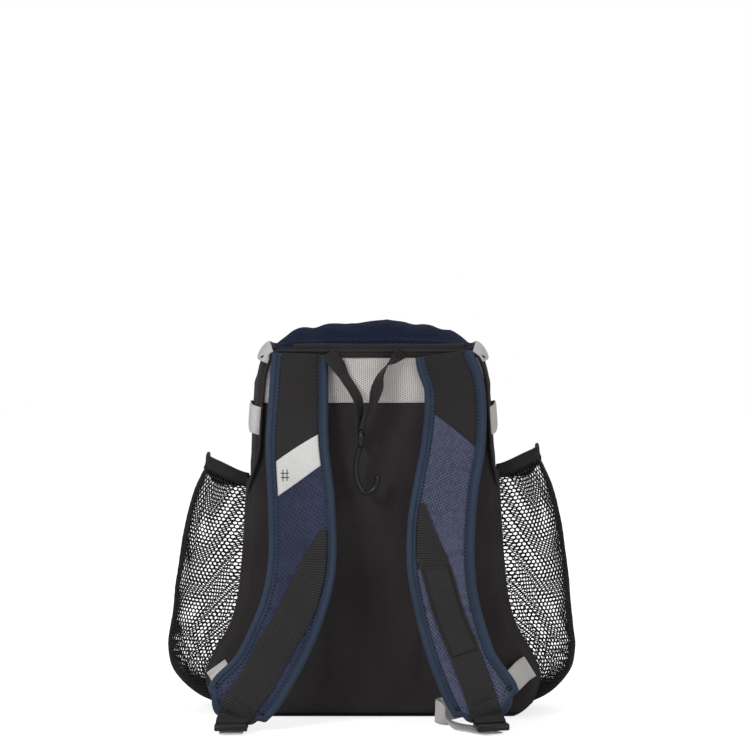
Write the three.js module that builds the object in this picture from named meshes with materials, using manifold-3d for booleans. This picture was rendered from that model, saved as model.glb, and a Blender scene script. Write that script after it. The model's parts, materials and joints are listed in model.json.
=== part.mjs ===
// Youth baseball bat backpack, empty, standing on its base with its shoulder straps towards -Y.
// Millimetres, +X to the viewer's right when looking at the straps, +Y towards the bag's outer face, +Z up.
// The origin is the middle of the base, on the ground.
import * as THREE from "three";
import { mergeVertices } from "three/addons/utils/BufferGeometryUtils.js";
import Module from "manifold-3d";

// Driving sizes of the bag
const bodyHeight = 410; // back seam, ground to yoke
const bodyHalfWidth = 182; // widest half-width, at the flared lower corners
const baseDepth = 170; // back panel to front panel at the ground
const topDepth = 128; // the same at the top seam
const topCrown = 33; // how far the top panel domes over its seams
const frontBulge = 16; // swell of the front panel
const sideBulge = 6.4; // swell of the sides at mid depth
const frontNarrowing = 18; // half-width lost towards the front seam
const frontDrop = 20; // height lost towards the front seam
const foldDepth = 4.5; // deepest fold of the top panel
const wall = 2; // fabric with its lining
const padThickness = 8; // padded back panel
const backCrown = 5; // swell of the padded back
const meshCrown = 1.5; // swell of the spacer mesh band
const gap = 0.3; // between neighbouring pieces
const seamGap = 0.9; // where a curved sheet is sewn on a curved wall

// Back panel bands
const yokeHeight = 14;
const yokeProud = 2; // the yoke stands this far in front of the back panel
const meshBandHeight = 47;

// Shoulder straps
const strapWidth = 75;
const strapThickness = 9;
const strapEdgeThickness = 6;
const strapSpread = 80; // centre line to the middle of each strap at the yoke
const strapBow = 93; // how far a strap's lower end stands in front of its sewn end
const bindingWidth = 12;
const bindingRound = 2.5; // the binding's rounded edge
const webWidth = 31;
const webThickness = 1.6;
const patchThickness = 0.8;
const labelWidth = 27;

// Strap buckles
const buckleWidth = 40;
const buckleLength = 25;
const buckleThickness = 5;
const buckleBar = 4.5;
const buckleCorner = 3;
const buckleReach = 9; // pad end to the buckle's near edge
const buckleRaise = 1.5; // the buckle's middle above the strap's middle

// Lower webbing, from the bag's lower corners to the buckles
const lowerWebWidth = 25;
const lowerWebThickness = 1.5;
const anchorHeight = 57; // its sewn end above the ground
const foldReach = 59; // how far the right one folds in towards the middle

// Hang loop and fence hook
const loopWidth = 19;
const loopThickness = 1.5;
const loopSpread = 82; // between its two sewn ends
const hookWire = 4.6;
const hookBevel = 1.2;
const hookEyeHeight = 9; // inside the eye
const hookEyeSlack = 1.5; // the loop's side play in the eye
const hookLength = 66; // eye bar to the bottom of the bend
const hookOffset = 13; // eye bar's middle, left of the centre line
const hookDrop = 80; // eye bar below the yoke's lower edge
const hookClear = 18; // eye bar's middle from the crowned back panel
const hookPlay = 0.8; // between the eye bar and the loop round it

// Side pockets
const pocketNear = 15; // back plane to the pocket's near seam
const pocketSpan = 116; // near seam to far seam
const pocketBottom = 13;
const pocketHeight = 245; // bottom seam to the hem at the near seam
const pocketBulge = 74;
const rimRise = 24; // how far the rim climbs at its peak
const rimFall = 12; // how far it drops by the far seam
const rimGather = 2.2; // waves of the gathered rim
const rightPocketLift = 10; // the right pocket's rim is this much higher
const netThickness = 1.4;
const netColumns = 6;
const netRows = 7;
const netHole = 0.8; // share of a cell that is open
const hemHeight = 12;
const hemThickness = 2.4;

// Trim
const cornerStrapWidth = 24;
const sidePatchHeight = 34;
const sidePatchSlant = 14;
const trimThickness = 1.2;
const zipWidth = 26;
const zipCoilWidth = 7;
const zipCoilHeight = 1.6;
const zipLift = 1.4; // the zip's tape over the panels, which fold under it
const pullLength = 30;
const pullWidth = 9;
const pullThickness = 2.5;
const pullSpacing = 16; // each slider from the middle of the bag

const backPlane = -baseDepth / 2; // outer face of the back panel
const towardsBag = new THREE.Vector3(0, 1, 0);
const vec = (x, y, z) => new THREE.Vector3(x, y, z);
const mix = THREE.MathUtils.lerp;
const clamp = THREE.MathUtils.clamp;
const sides = [
  { suffix: "left", side: -1 },
  { suffix: "right", side: 1 },
];

const fabric = (colour, roughness = 0.9) =>
  new THREE.MeshStandardMaterial({ color: colour, roughness, metalness: 0 });
const black = fabric(0x1b1a1b);
const navy = fabric(0x1c2845, 0.8);
const bindingNavy = fabric(0x2c3a52, 0.75);
const ripstop = fabric(0x343d5a, 0.7);
const grey = fabric(0xb4b0ae);
const spacerMesh = fabric(0xc9c4c3);
const white = fabric(0xdcdcda, 0.6);
const plastic = new THREE.MeshStandardMaterial({ color: 0x101113, roughness: 0.3, metalness: 0 });

const bag = new THREE.Group();
function add(name, geometry, material, parent = bag) {
  const mesh = new THREE.Mesh(geometry, material);
  mesh.name = name;
  parent.add(mesh);
}

// Smooth reading of a table: rows sorted by one column, read in another, without overshoot.
function reader(rows, by, key) {
  const x = rows.map((row) => row[by]);
  const y = rows.map((row) => row[key]);
  const slope = x.slice(1).map((right, i) => (y[i + 1] - y[i]) / (right - x[i]));
  const tangent = x.map((_, i) => {
    if (i === 0) return slope[0];
    if (i === x.length - 1) return slope[i - 1];
    const before = slope[i - 1];
    const after = slope[i];
    return before * after <= 0 ? 0 : (2 * before * after) / (before + after);
  });
  return (value) => {
    const at = clamp(value, x[0], x[x.length - 1]);
    let i = 0;
    while (i < x.length - 2 && at > x[i + 1]) i++;
    const run = x[i + 1] - x[i];
    const t = (at - x[i]) / run;
    const t2 = t * t;
    const t3 = t2 * t;
    return (
      (2 * t3 - 3 * t2 + 1) * y[i] +
      (t3 - 2 * t2 + t) * run * tangent[i] +
      (3 * t2 - 2 * t3) * y[i + 1] +
      (t3 - t2) * run * tangent[i + 1]
    );
  };
}

// Straight reading of a list of points sorted by x.
function lineThrough(points, at) {
  let i = 0;
  while (i < points.length - 2 && at > points[i + 1].x) i++;
  const [from, to] = [points[i], points[i + 1]];
  return mix(from.y, to.y, (at - from.x) / (to.x - from.x));
}

// Turns a closed geometry's faces round if they point inwards.
function facingOut(geometry) {
  const position = geometry.getAttribute("position");
  const index = geometry.index.array;
  const corner = (i) => vec().fromBufferAttribute(position, index[i]);
  let volume = 0;
  for (let i = 0; i < index.length; i += 3) {
    volume += corner(i).dot(corner(i + 1).cross(corner(i + 2)));
  }
  if (volume < 0) {
    for (let i = 0; i < index.length; i += 3) {
      [index[i + 1], index[i + 2]] = [index[i + 2], index[i + 1]];
    }
  }
  geometry.computeVertexNormals();
  return geometry;
}

// A closed geometry from its points and the faces between them.
function meshOf(points, faces) {
  const geometry = new THREE.BufferGeometry().setFromPoints(points);
  geometry.setIndex(new THREE.BufferAttribute(new Uint32Array(faces), 1));
  return facingOut(geometry);
}

// A box of along by across by one cells, with each corner moved to its place.
function bent(along, across, place) {
  const geometry = new THREE.BoxGeometry(1, 1, 1, along, across, 1);
  const position = geometry.getAttribute("position");
  for (let i = 0; i < position.count; i++) {
    const spot = place(position.getX(i) + 0.5, position.getY(i) + 0.5, position.getZ(i) + 0.5);
    position.setXYZ(i, spot.x, spot.y, spot.z);
  }
  return facingOut(geometry);
}

// A closed geometry from loops of points, each loop joined to the next and both ends capped.
function loft(loops) {
  const count = loops[0].length;
  const faces = [];
  for (let i = 0; i < loops.length - 1; i++) {
    for (let j = 0; j < count; j++) {
      const a = i * count + j;
      const b = i * count + ((j + 1) % count);
      faces.push(a, b, b + count, a, b + count, a + count);
    }
  }
  const last = (loops.length - 1) * count;
  for (let j = 1; j < count - 1; j++) {
    faces.push(0, j + 1, j, last, last + j, last + j + 1);
  }
  return meshOf(loops.flat(), faces);
}

// A flat ribbon along rows that each give a spot and the way the ribbon's width runs there.
function ribbon(rows, width, thickness, steps) {
  const middle = new THREE.CatmullRomCurve3(rows.map((row) => row.spot), false, "centripetal");
  const turn = new THREE.CatmullRomCurve3(rows.map((row) => row.across), false, "centripetal");
  return bent(steps, 1, (a, b, depth) => {
    const run = middle.getTangent(a);
    const across = turn.getPoint(a);
    across.addScaledVector(run, -across.dot(run)).normalize();
    const face = run.clone().cross(across);
    return middle
      .getPoint(a)
      .addScaledVector(across, (b - 0.5) * width)
      .addScaledVector(face, (depth - 0.5) * thickness);
  });
}

const wasm = await Module();
wasm.setup();

// A closed geometry as a solid that can be joined and cut.
function solid(geometry) {
  const bare = geometry.clone();
  bare.deleteAttribute("normal");
  bare.deleteAttribute("uv");
  const merged = mergeVertices(bare, 1e-3);
  return new wasm.Manifold(
    new wasm.Mesh({
      numProp: 3,
      vertProperties: merged.attributes.position.array,
      triVerts: new Uint32Array(merged.index.array),
    }),
  );
}

// That solid back as a geometry.
function geometryOf(manifold) {
  const mesh = manifold.getMesh();
  const geometry = new THREE.BufferGeometry();
  geometry.setAttribute("position", new THREE.BufferAttribute(mesh.vertProperties, 3));
  geometry.setIndex(new THREE.BufferAttribute(mesh.triVerts, 1));
  geometry.computeVertexNormals();
  return geometry;
}

// Half of the back seam's outline, from the middle of the base round the right side to the middle of the top.
const backOutline = [
  { aside: 0, up: 0 },
  { aside: 0.4, up: 0 },
  { aside: 0.76, up: 0 },
  { aside: 0.88, up: 0.012 },
  { aside: 0.965, up: 0.05 },
  { aside: 1, up: 0.11 },
  { aside: 0.945, up: 0.175 },
  { aside: 0.86, up: 0.24 },
  { aside: 0.81, up: 0.31 },
  { aside: 0.78, up: 0.42 },
  { aside: 0.75, up: 0.63 },
  { aside: 0.72, up: 0.85 },
  { aside: 0.7, up: 0.93 },
  { aside: 0.655, up: 0.98 },
  { aside: 0.57, up: 1 },
  { aside: 0.3, up: 1 },
  { aside: 0, up: 1 },
];
const topHalf = 0.57; // half-width of the flat top, as a share of the widest
const topStart = 0.93; // height share above which the surface belongs to the dome
const outlineCurve = new THREE.CatmullRomCurve3(
  backOutline.map((row) => vec(row.aside, row.up, 0)),
  false,
  "centripetal",
);

// First share along the outline at which a test holds.
function shareAt(test) {
  const steps = 400;
  for (let i = 0; i <= steps; i++) {
    if (test(outlineCurve.getPoint(i / steps))) return i / steps;
  }
  return 1;
}

// Where the bottom panel, the sides and the top panel meet, as shares of the way round that half outline.
const bottomEnd = shareAt((point) => point.x > 0.8);
const sideEnd = shareAt((point) => point.y > 0.995);

// A point of the outline: way 0 is the base's middle and 1 the top's, and past 1 or below 0 is the left side.
function outlinePoint(way) {
  const left = way > 1 || way < 0;
  const share = way > 1 ? 2 - way : Math.abs(way);
  const point = outlineCurve.getPoint(clamp(share, 0, 1));
  return { aside: left ? -point.x : point.x, up: clamp(point.y, 0, 1) };
}

const depthAt = (up) => mix(baseDepth, topDepth, up ** 1.5);

// Folds of the top panel: place across it, depth of the dent and how wide it runs.
const topFolds = [
  { across: -0.62, dent: 1, spread: 0.1 },
  { across: -0.28, dent: 0.55, spread: 0.16 },
  { across: 0.12, dent: -0.45, spread: 0.2 },
  { across: 0.45, dent: 0.65, spread: 0.12 },
  { across: 0.72, dent: 0.9, spread: 0.1 },
];

// The bag's outer surface between its two panels: way round the outline, and through from back to front.
function bodySurface(way, through) {
  const { aside, up } = outlinePoint(way);
  const across = aside / topHalf;
  const arch = Math.sin(Math.PI * through);
  const doming = arch * clamp((up - topStart) / (1 - topStart), 0, 1);
  let rise = topCrown * doming * Math.max(0, 1 - Math.abs(across) ** 3.5);
  for (const fold of topFolds) {
    const away = (across - fold.across) / fold.spread;
    rise -= foldDepth * fold.dent * doming * Math.exp(-away * away);
  }
  const halfWidth = bodyHalfWidth - frontNarrowing * through * through + sideBulge * arch;
  const height = bodyHeight - frontDrop * through * through;
  const depth = depthAt(up) - padThickness - wall - 2 * gap;
  return vec(
    aside * halfWidth,
    backPlane + padThickness + gap + through * depth,
    up * height + rise,
  );
}

// Outward normal of a surface given by two shares, by small steps.
function normalOf(surface, a, b, outward = 1) {
  const step = 1e-3;
  const along = surface(a + step, b).sub(surface(a - step, b));
  const across = surface(a, b + step).sub(surface(a, b - step));
  return across.cross(along).normalize().multiplyScalar(outward);
}

// A length along the outline at some way round it, as a share of the way.
function wayFor(length, way) {
  const step = 1e-3;
  const run = bodySurface(way + step, 0).distanceTo(bodySurface(way - step, 0));
  return (length * 2 * step) / run;
}

// Places spread evenly from one way round to another.
const spread = (from, to, steps) => Array.from({ length: steps + 1 }, (_, i) => mix(from, to, i / steps));

// A sheet on the body surface along some ways round and between two shares through, from one height over it to
// another.
function bodySheet({ ways, near = 0, far = 1, low, high, across, slant = 0 }) {
  return bent(ways.length - 1, across, (a, b, depth) => {
    const through = mix(near, far, b);
    const way = ways[Math.round(a * (ways.length - 1))] + slant * b;
    const out = normalOf(bodySurface, way, through);
    return bodySurface(way, through).addScaledVector(out, mix(low, high, depth));
  });
}

// Body shell
const rightWays = spread(bottomEnd + wayFor(gap, bottomEnd), sideEnd - wayFor(gap, sideEnd), 16);
const leftWays = rightWays.map((way) => 2 - way).reverse();
const topFrom = sideEnd + wayFor(gap, sideEnd);
const topWays = spread(topFrom, 2 - topFrom, 20);
const bottomTo = bottomEnd - wayFor(gap, bottomEnd);
const bottomWays = spread(-bottomTo, bottomTo, 6);
const sideSheet = (side, low, high) =>
  bodySheet({ ways: side > 0 ? rightWays : leftWays, low, high, across: 5 });
for (const { suffix, side } of sides) add(`side_panel_${suffix}`, sideSheet(side, -wall, 0), black);
add("top_panel", bodySheet({ ways: topWays, low: -wall, high: 0, across: 6 }), navy);
add("bottom_panel", bodySheet({ ways: bottomWays, low: -wall, high: 0, across: 2 }), black);

// The side wall's half-width at a height and a depth, read on the side panel's own facets.
function wallAt(z, y) {
  const up = z / bodyHeight;
  const depth = depthAt(up) - padThickness - wall - 2 * gap;
  const through = clamp((y - backPlane - padThickness - gap) / depth, 0, 1);
  const rows = rightWays.map((way) => {
    const spot = bodySurface(way, through);
    return { x: spot.z, y: spot.x };
  });
  return lineThrough(rows, z);
}

// The outline's half-width and height on the back or front seam, rows spread evenly round it.
function seamRow(share, through) {
  const edge = bodySurface(mix(bottomEnd, sideEnd, share), through);
  return { half: edge.x, z: share === 0 ? 0 : edge.z };
}
const seamSteps = 40;
const seamRows = Array.from({ length: seamSteps + 1 }, (_, i) => seamRow(i / seamSteps, 0));
const seamHalfAt = reader(seamRows, "z", "half");

// How far a back band swells, by its shares across from -1 to 1 and up from 0 to 1.
const swellAt = (crown, side, up) =>
  crown * (1 - side ** 4) * Math.sin(Math.PI * clamp(up, 0.02, 0.98)) ** 0.5;

// A band of the back panel: rows close together where the lower corners turn.
const bandRowPower = 1.35;
function backBand({ from, to, proud, crown, along, across }) {
  return bent(along, across, (a, b, depth) => {
    const z = mix(from, to, a ** bandRowPower);
    const side = 2 * b - 1;
    const front = backPlane - proud - swellAt(crown, side, a);
    return vec(side * seamHalfAt(z), depth < 0.5 ? front : backPlane + padThickness, z);
  });
}
const yokeBottom = bodyHeight - yokeHeight;
const meshTop = yokeBottom - gap;
const meshBottom = meshTop - meshBandHeight;
const panelTop = meshBottom - gap;
add(
  "back_panel",
  backBand({ from: 0, to: panelTop, proud: 0, crown: backCrown, along: 14, across: 8 }),
  black,
);

// The black back panel's face at a place on it.
const backFaceAt = (x, z) =>
  backPlane - swellAt(backCrown, clamp(x / seamHalfAt(z), -1, 1), (z / panelTop) ** (1 / bandRowPower));
add(
  "mesh_band",
  backBand({ from: meshBottom, to: meshTop, proud: 0, crown: meshCrown, along: 3, across: 6 }),
  spacerMesh,
);
add(
  "yoke",
  backBand({ from: yokeBottom, to: bodyHeight, proud: yokeProud, crown: 0, along: 2, across: 6 }),
  black,
);

// Front panel, crowned, closing the outline at the front seam.
const frontHeight = bodyHeight - frontDrop;
add(
  "front_panel",
  bent(14, 8, (a, b, depth) => {
    const row = seamRow(a ** 1.2, 1);
    const side = 2 * b - 1;
    const seam = backPlane + depthAt(Math.min(1, row.z / frontHeight));
    const swell = frontBulge * (1 - side ** 4) * Math.sin(Math.PI * a) ** 0.7;
    return vec(side * row.half, seam + swell - (depth < 0.5 ? 0 : wall), row.z);
  }),
  navy,
);

// Main zip over the top and down both sides, its coil proud of its tape, with a pull on each of its two sliders.
const zipThrough = 0.84;
const zipEndUp = 0.74; // height share of its two lower ends, over the pockets
const zipEnd = shareAt((point) => point.y > zipEndUp);
const zipShare = (width) => ({
  near: zipThrough - width / 2 / topDepth,
  far: zipThrough + width / 2 / topDepth,
});
const zipWays = [
  zipEnd,
  ...[...rightWays, ...topWays, ...leftWays].filter((way) => way > zipEnd && way < 2 - zipEnd),
  2 - zipEnd,
];
const tapeTop = zipLift + trimThickness;
const coilTop = tapeTop + 2 * gap + zipCoilHeight;
add(
  "zip_tape",
  bodySheet({ ways: zipWays, ...zipShare(zipWidth), low: zipLift, high: tapeTop, across: 2 }),
  black,
);
add(
  "zip_coil",
  bodySheet({ ways: zipWays, ...zipShare(zipCoilWidth), low: tapeTop + 2 * gap, high: coilTop, across: 1 }),
  black,
);
for (const { suffix, side } of sides) {
  const ends = [pullSpacing, pullSpacing + pullLength].map((reach) => 1 - side * wayFor(reach, 1));
  add(
    `zip_pull_${suffix}`,
    bodySheet({
      ways: spread(Math.min(...ends), Math.max(...ends), 6),
      ...zipShare(pullWidth),
      low: coilTop + seamGap,
      high: coilTop + seamGap + pullThickness,
      across: 2,
    }),
    plastic,
  );
}

// Grey webbing over each top corner, and a grey patch on each side.
const cornerWay = shareAt((point) => point.y > 0.97);
const cornerHalf = wayFor(cornerStrapWidth / 2, cornerWay);
const patchLow = shareAt((point) => point.y > 0.76);
const patchTall = wayFor(sidePatchHeight, patchLow);
const patchSlant = wayFor(sidePatchSlant, patchLow);
const trimNear = 0.05;
const trimFar = zipShare(zipWidth).near - 0.02;
for (const { suffix, side } of sides) {
  const mirrored = (ways) => (side > 0 ? ways : ways.map((way) => 2 - way).reverse());
  const trim = { near: trimNear, far: trimFar, low: seamGap, high: seamGap + trimThickness };
  const cornerWays = mirrored(spread(cornerWay - cornerHalf, cornerWay + cornerHalf, 5));
  add(`corner_strap_${suffix}`, bodySheet({ ...trim, ways: cornerWays, across: 5 }), grey);
  const patchWays = mirrored(spread(patchLow, patchLow + patchTall, 3));
  const slant = side * patchSlant;
  add(`side_patch_${suffix}`, bodySheet({ ...trim, ways: patchWays, across: 4, slant }), grey);
}

// Mesh pockets: how far each stands out by height, and how its rim climbs and drops from near seam to far seam.
const pocketOut = reader(
  [
    { up: 0, out: 0 },
    { up: 0.03, out: 0.26 },
    { up: 0.06, out: 0.37 },
    { up: 0.1, out: 0.47 },
    { up: 0.15, out: 0.58 },
    { up: 0.23, out: 0.75 },
    { up: 0.33, out: 0.91 },
    { up: 0.49, out: 1 },
    { up: 0.65, out: 0.98 },
    { up: 0.77, out: 0.93 },
    { up: 0.87, out: 0.86 },
    { up: 0.95, out: 0.75 },
    { up: 1, out: 0.66 },
  ],
  "up",
  "out",
);
const rimTable = [
  { round: 0, rise: 0, fall: 0 },
  { round: 0.18, rise: 0.45, fall: 0 },
  { round: 0.33, rise: 1, fall: 0 },
  { round: 0.47, rise: 0.55, fall: 0 },
  { round: 0.62, rise: 0.15, fall: 0.45 },
  { round: 0.8, rise: 0, fall: 0.9 },
  { round: 1, rise: 0, fall: 1 },
];
const rimUp = reader(rimTable, "round", "rise");
const rimDown = reader(rimTable, "round", "fall");
const rimWaves = 4;
const seamBite = 0.6; // the sheet is drawn this far into the wall, and cut back to it

// A point of a pocket's inner face: round from near seam to far seam, up from its bottom seam to its rim.
function pocketPoint(side, round, up, above = 0) {
  const tall = pocketHeight + (side > 0 ? rightPocketLift : 0);
  const rim = tall + rimRise * rimUp(round) - rimFall * rimDown(round);
  const z = pocketBottom + up * rim + above;
  const share = clamp((z - pocketBottom) / (tall + rimRise), 0, 1);
  const turn = Math.PI * round;
  const y = backPlane + pocketNear + (pocketSpan * (1 - Math.cos(turn))) / 2;
  const belly = Math.max(0, Math.sin(turn)) ** 0.75;
  const gather = rimGather * Math.sin(2 * rimWaves * turn) * share ** 3;
  const reach = pocketOut(share) * belly * (pocketBulge + gather);
  return vec(side * (wallAt(z, y) - seamBite + reach), y, z);
}
const pocketNormal = (side, round, up) =>
  normalOf((a, b) => pocketPoint(side, a, b), clamp(round, 0.01, 0.99), clamp(up, 0.01, 0.99), -side);

// A net in a sheet: rows of six-sided cells, every other row shifted by half a cell, each with a hole.
function net(surface, normal) {
  const points = [];
  const faces = [];
  const peak = 1 / 6;
  const known = new Map();
  const corner = (across, up) => {
    const x = clamp(across / netColumns, 0, 1);
    const y = clamp(up / netRows, 0, 1);
    const key = `${x.toFixed(5)},${y.toFixed(5)}`;
    if (!known.has(key)) {
      const spot = surface(x, y);
      known.set(key, points.length / 2);
      points.push(spot.clone().addScaledVector(normal(x, y), netThickness), spot);
    }
    return known.get(key);
  };
  const quad = (a, b, c, d) => {
    faces.push(2 * a, 2 * b, 2 * c, 2 * a, 2 * c, 2 * d);
    faces.push(2 * a + 1, 2 * c + 1, 2 * b + 1, 2 * a + 1, 2 * d + 1, 2 * c + 1);
  };
  const upright = (a, b) => {
    faces.push(2 * a, 2 * b + 1, 2 * b, 2 * a, 2 * a + 1, 2 * b + 1);
  };
  for (let row = 0; row < netRows; row++) {
    const odd = row % 2;
    const low = row === 0 ? 0 : peak;
    const high = row === netRows - 1 ? 0 : peak;
    for (let column = 0; column < netColumns - odd; column++) {
      const left = column + odd / 2;
      const cell = [
        [left, row + low],
        [left + 0.5, row - low],
        [left + 1, row + low],
        [left + 1, row + 1 - high],
        [left + 0.5, row + 1 + high],
        [left, row + 1 - high],
      ];
      const rim = cell.map(([x, y]) => corner(x, y));
      const hole = cell.map(([x, y]) =>
        corner(mix(left + 0.5, x, netHole), mix(row + 0.5, y, netHole)),
      );
      for (let i = 0; i < 6; i++) {
        const j = (i + 1) % 6;
        quad(rim[i], rim[j], hole[j], hole[i]);
        upright(hole[j], hole[i]);
      }
    }
    for (const edge of odd ? [0, netColumns] : []) {
      const middle = edge > 0 ? edge - 0.5 : edge + 0.5;
      const half = [
        corner(edge, row - low),
        corner(middle, row + low),
        corner(middle, row + 1 - high),
        corner(edge, row + 1 + high),
      ];
      if (edge > 0) half.reverse();
      quad(...half);
    }
  }
  // Every edge that only one face of the outer skin uses lies on the net's border, and gets a wall.
  const used = new Map();
  for (let i = 0; i < faces.length; i += 3) {
    for (let k = 0; k < 3; k++) {
      const [a, b] = [faces[i + k], faces[i + ((k + 1) % 3)]];
      if (used.has(`${b},${a}`)) used.delete(`${b},${a}`);
      else used.set(`${a},${b}`, [a, b]);
    }
  }
  for (const [a, b] of used.values()) {
    if (a % 2 === 0 && b % 2 === 0) upright(a / 2, b / 2);
  }
  return meshOf(points, faces);
}

for (const { suffix, side } of sides) {
  const clearOfWall = solid(sideSheet(side, -wall - padThickness, gap));
  const netSheet = net(
    (a, b) => pocketPoint(side, a, b),
    (a, b) => pocketNormal(side, a, b),
  );
  add(`pocket_net_${suffix}`, geometryOf(solid(netSheet).subtract(clearOfWall)), black);
  const hem = bent(2 * netColumns, 1, (a, b, depth) => {
    const above = 2 * gap + b * hemHeight;
    const out = pocketNormal(side, a, 1);
    return pocketPoint(side, a, 1, above).addScaledVector(out, hemThickness * (depth - 0.2));
  });
  add(`pocket_hem_${suffix}`, geometryOf(solid(hem).subtract(clearOfWall)), black);
}

// Shoulder straps: the middle line of each, from the yoke past the pad's lower end to the buckle on the ground.
const strapTables = {
  left: [
    { up: 0.978, aside: 0.995, off: 0, width: 0.82 },
    { up: 0.92, aside: 1.01, off: 0.02, width: 0.85 },
    { up: 0.846, aside: 1.02, off: 0.06, width: 0.88 },
    { up: 0.739, aside: 1.033, off: 0.18, width: 0.92 },
    { up: 0.581, aside: 0.968, off: 0.38, width: 0.97 },
    { up: 0.424, aside: 0.96, off: 0.58, width: 0.98 },
    { up: 0.32, aside: 1.07, off: 0.71, width: 0.95 },
    { up: 0.218, aside: 1.283, off: 0.81, width: 0.94 },
    { up: 0.116, aside: 1.569, off: 0.91, width: 0.9 },
    { up: 0.066, aside: 1.74, off: 0.96, width: 0.8 },
    { up: 0.028, aside: 1.85, off: 1, width: 0.58 },
    { up: 0.019, aside: 1.87, off: 1.17, width: 0.5 },
    { up: 0.016, aside: 1.86, off: 1.5, width: 0.5 },
  ],
  right: [
    { up: 0.978, aside: 0.975, off: 0, width: 0.85 },
    { up: 0.957, aside: 0.99, off: 0.01, width: 0.86 },
    { up: 0.9, aside: 1.1, off: 0.03, width: 0.88 },
    { up: 0.846, aside: 1.127, off: 0.06, width: 0.9 },
    { up: 0.739, aside: 1.095, off: 0.18, width: 0.93 },
    { up: 0.633, aside: 0.997, off: 0.32, width: 0.94 },
    { up: 0.528, aside: 0.925, off: 0.46, width: 0.98 },
    { up: 0.424, aside: 0.916, off: 0.58, width: 0.98 },
    { up: 0.32, aside: 0.995, off: 0.71, width: 0.94 },
    { up: 0.218, aside: 1.14, off: 0.81, width: 0.94 },
    { up: 0.116, aside: 1.338, off: 0.91, width: 0.93 },
    { up: 0.066, aside: 1.445, off: 0.96, width: 0.86 },
    { up: 0.031, aside: 1.52, off: 1, width: 0.6 },
    { up: 0.021, aside: 1.56, off: 1.16, width: 0.5 },
    { up: 0.018, aside: 1.6, off: 1.48, width: 0.5 },
  ],
};
const rowsPastPad = 2;
const strapSeat = yokeProud + gap + strapThickness / 2; // back plane to the strap's middle at the yoke
const padSteps = 18;

// A strap as a frame along its middle line: where it is, which way it runs, and its sides and face.
function strapFrames(side, rows) {
  const points = rows.map((row) =>
    vec(
      side * row.aside * strapSpread,
      backPlane - strapSeat - row.off * strapBow,
      row.up * bodyHeight,
    ),
  );
  const curve = new THREE.CatmullRomCurve3(points, false, "centripetal");
  const whole = curve.getLength();
  const last = rows.length - 1;
  const padShare = (last - rowsPastPad) / last;
  const padCurve = new THREE.CatmullRomCurve3(points.slice(0, -rowsPastPad), false, "centripetal");
  const length = padCurve.getLength();
  const widths = reader(
    rows.map((row, i) => ({ share: i / last, width: row.width })),
    "share",
    "width",
  );
  const frameAt = (along) => {
    const share = clamp(along / whole, 0, 1);
    const run = curve.getTangentAt(share);
    const across = vec(-1, 0, 0);
    across.addScaledVector(run, -across.dot(run)).normalize();
    const face = across.clone().cross(run);
    return { spot: curve.getPointAt(share), run, across, face };
  };
  const halfWidth = (along) => {
    const t = curve.getUtoTmapping(clamp(along / whole, 0, 1));
    return (widths(Math.min(t, padShare)) * strapWidth) / 2;
  };
  const point = (along, across, height) => {
    const frame = frameAt(along);
    return frame.spot.addScaledVector(frame.across, across).addScaledVector(frame.face, height);
  };
  return { length, frameAt, halfWidth, point };
}

// Points round a strap's edge: down one side, across the lower end and up the other, each with its way inwards.
function strapEdge(strap) {
  const down = Array.from({ length: padSteps + 1 }, (_, i) => {
    const along = (strap.length * i) / padSteps;
    return new THREE.Vector2(along, -strap.halfWidth(along));
  });
  const end = strap.halfWidth(strap.length);
  const lowerEnd = [0.25, 0.5, 0.75].map(
    (share) => new THREE.Vector2(strap.length + bindingRound / 2, mix(-end, end, share)),
  );
  const up = down.map((spot) => new THREE.Vector2(spot.x, -spot.y)).reverse();
  const flat = [...down, ...lowerEnd, ...up];
  return flat.map((spot, i) => {
    const before = flat[Math.max(0, i - 1)];
    const after = flat[Math.min(flat.length - 1, i + 1)];
    const run = after.clone().sub(before).normalize();
    return { spot, inward: new THREE.Vector2(-run.y, run.x) };
  });
}

// Binding: a rounded strip along that edge.
function bindingGeometry(strap) {
  const half = strapEdgeThickness / 2;
  const section = [
    { inside: bindingWidth, height: half },
    { inside: bindingRound, height: half },
    { inside: 0, height: half * 0.4 },
    { inside: 0, height: -half * 0.4 },
    { inside: bindingRound, height: -half },
    { inside: bindingWidth, height: -half },
  ];
  return loft(
    strapEdge(strap).map(({ spot, inward }) =>
      section.map(({ inside, height }) => {
        const flat = spot.clone().addScaledVector(inward, inside);
        return strap.point(Math.max(0, flat.x), flat.y, height);
      }),
    ),
  );
}

// The pad between the bindings: its rows along the strap and its half-width on each.
function padRows(strap) {
  const inner = strapEdge(strap)
    .slice(0, padSteps + 1)
    .map(({ spot, inward }) => spot.clone().addScaledVector(inward, bindingWidth))
    .map((spot) => ({ x: Math.max(0, spot.x), y: -spot.y - gap }));
  const end = strap.length + bindingRound / 2 - bindingWidth - 2 * gap;
  const rows = inner.filter((row) => row.x < end - 1);
  rows.push({ x: end, y: lineThrough(inner, end) });
  rows[0].x = 0;
  return rows;
}

// Height of the pad's face over the strap's middle, flat to its edge and fuller between.
const padFace = (side) =>
  mix(strapEdgeThickness, strapThickness, Math.sqrt(1 - side ** 4)) / 2;

function padGeometry(strap) {
  const rows = padRows(strap);
  return bent(rows.length - 1, 6, (a, b, depth) => {
    const row = rows[Math.round(a * (rows.length - 1))];
    const side = 2 * b - 1;
    return strap.point(row.x, side * row.y, (depth < 0.5 ? -1 : 1) * padFace(side));
  });
}

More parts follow.
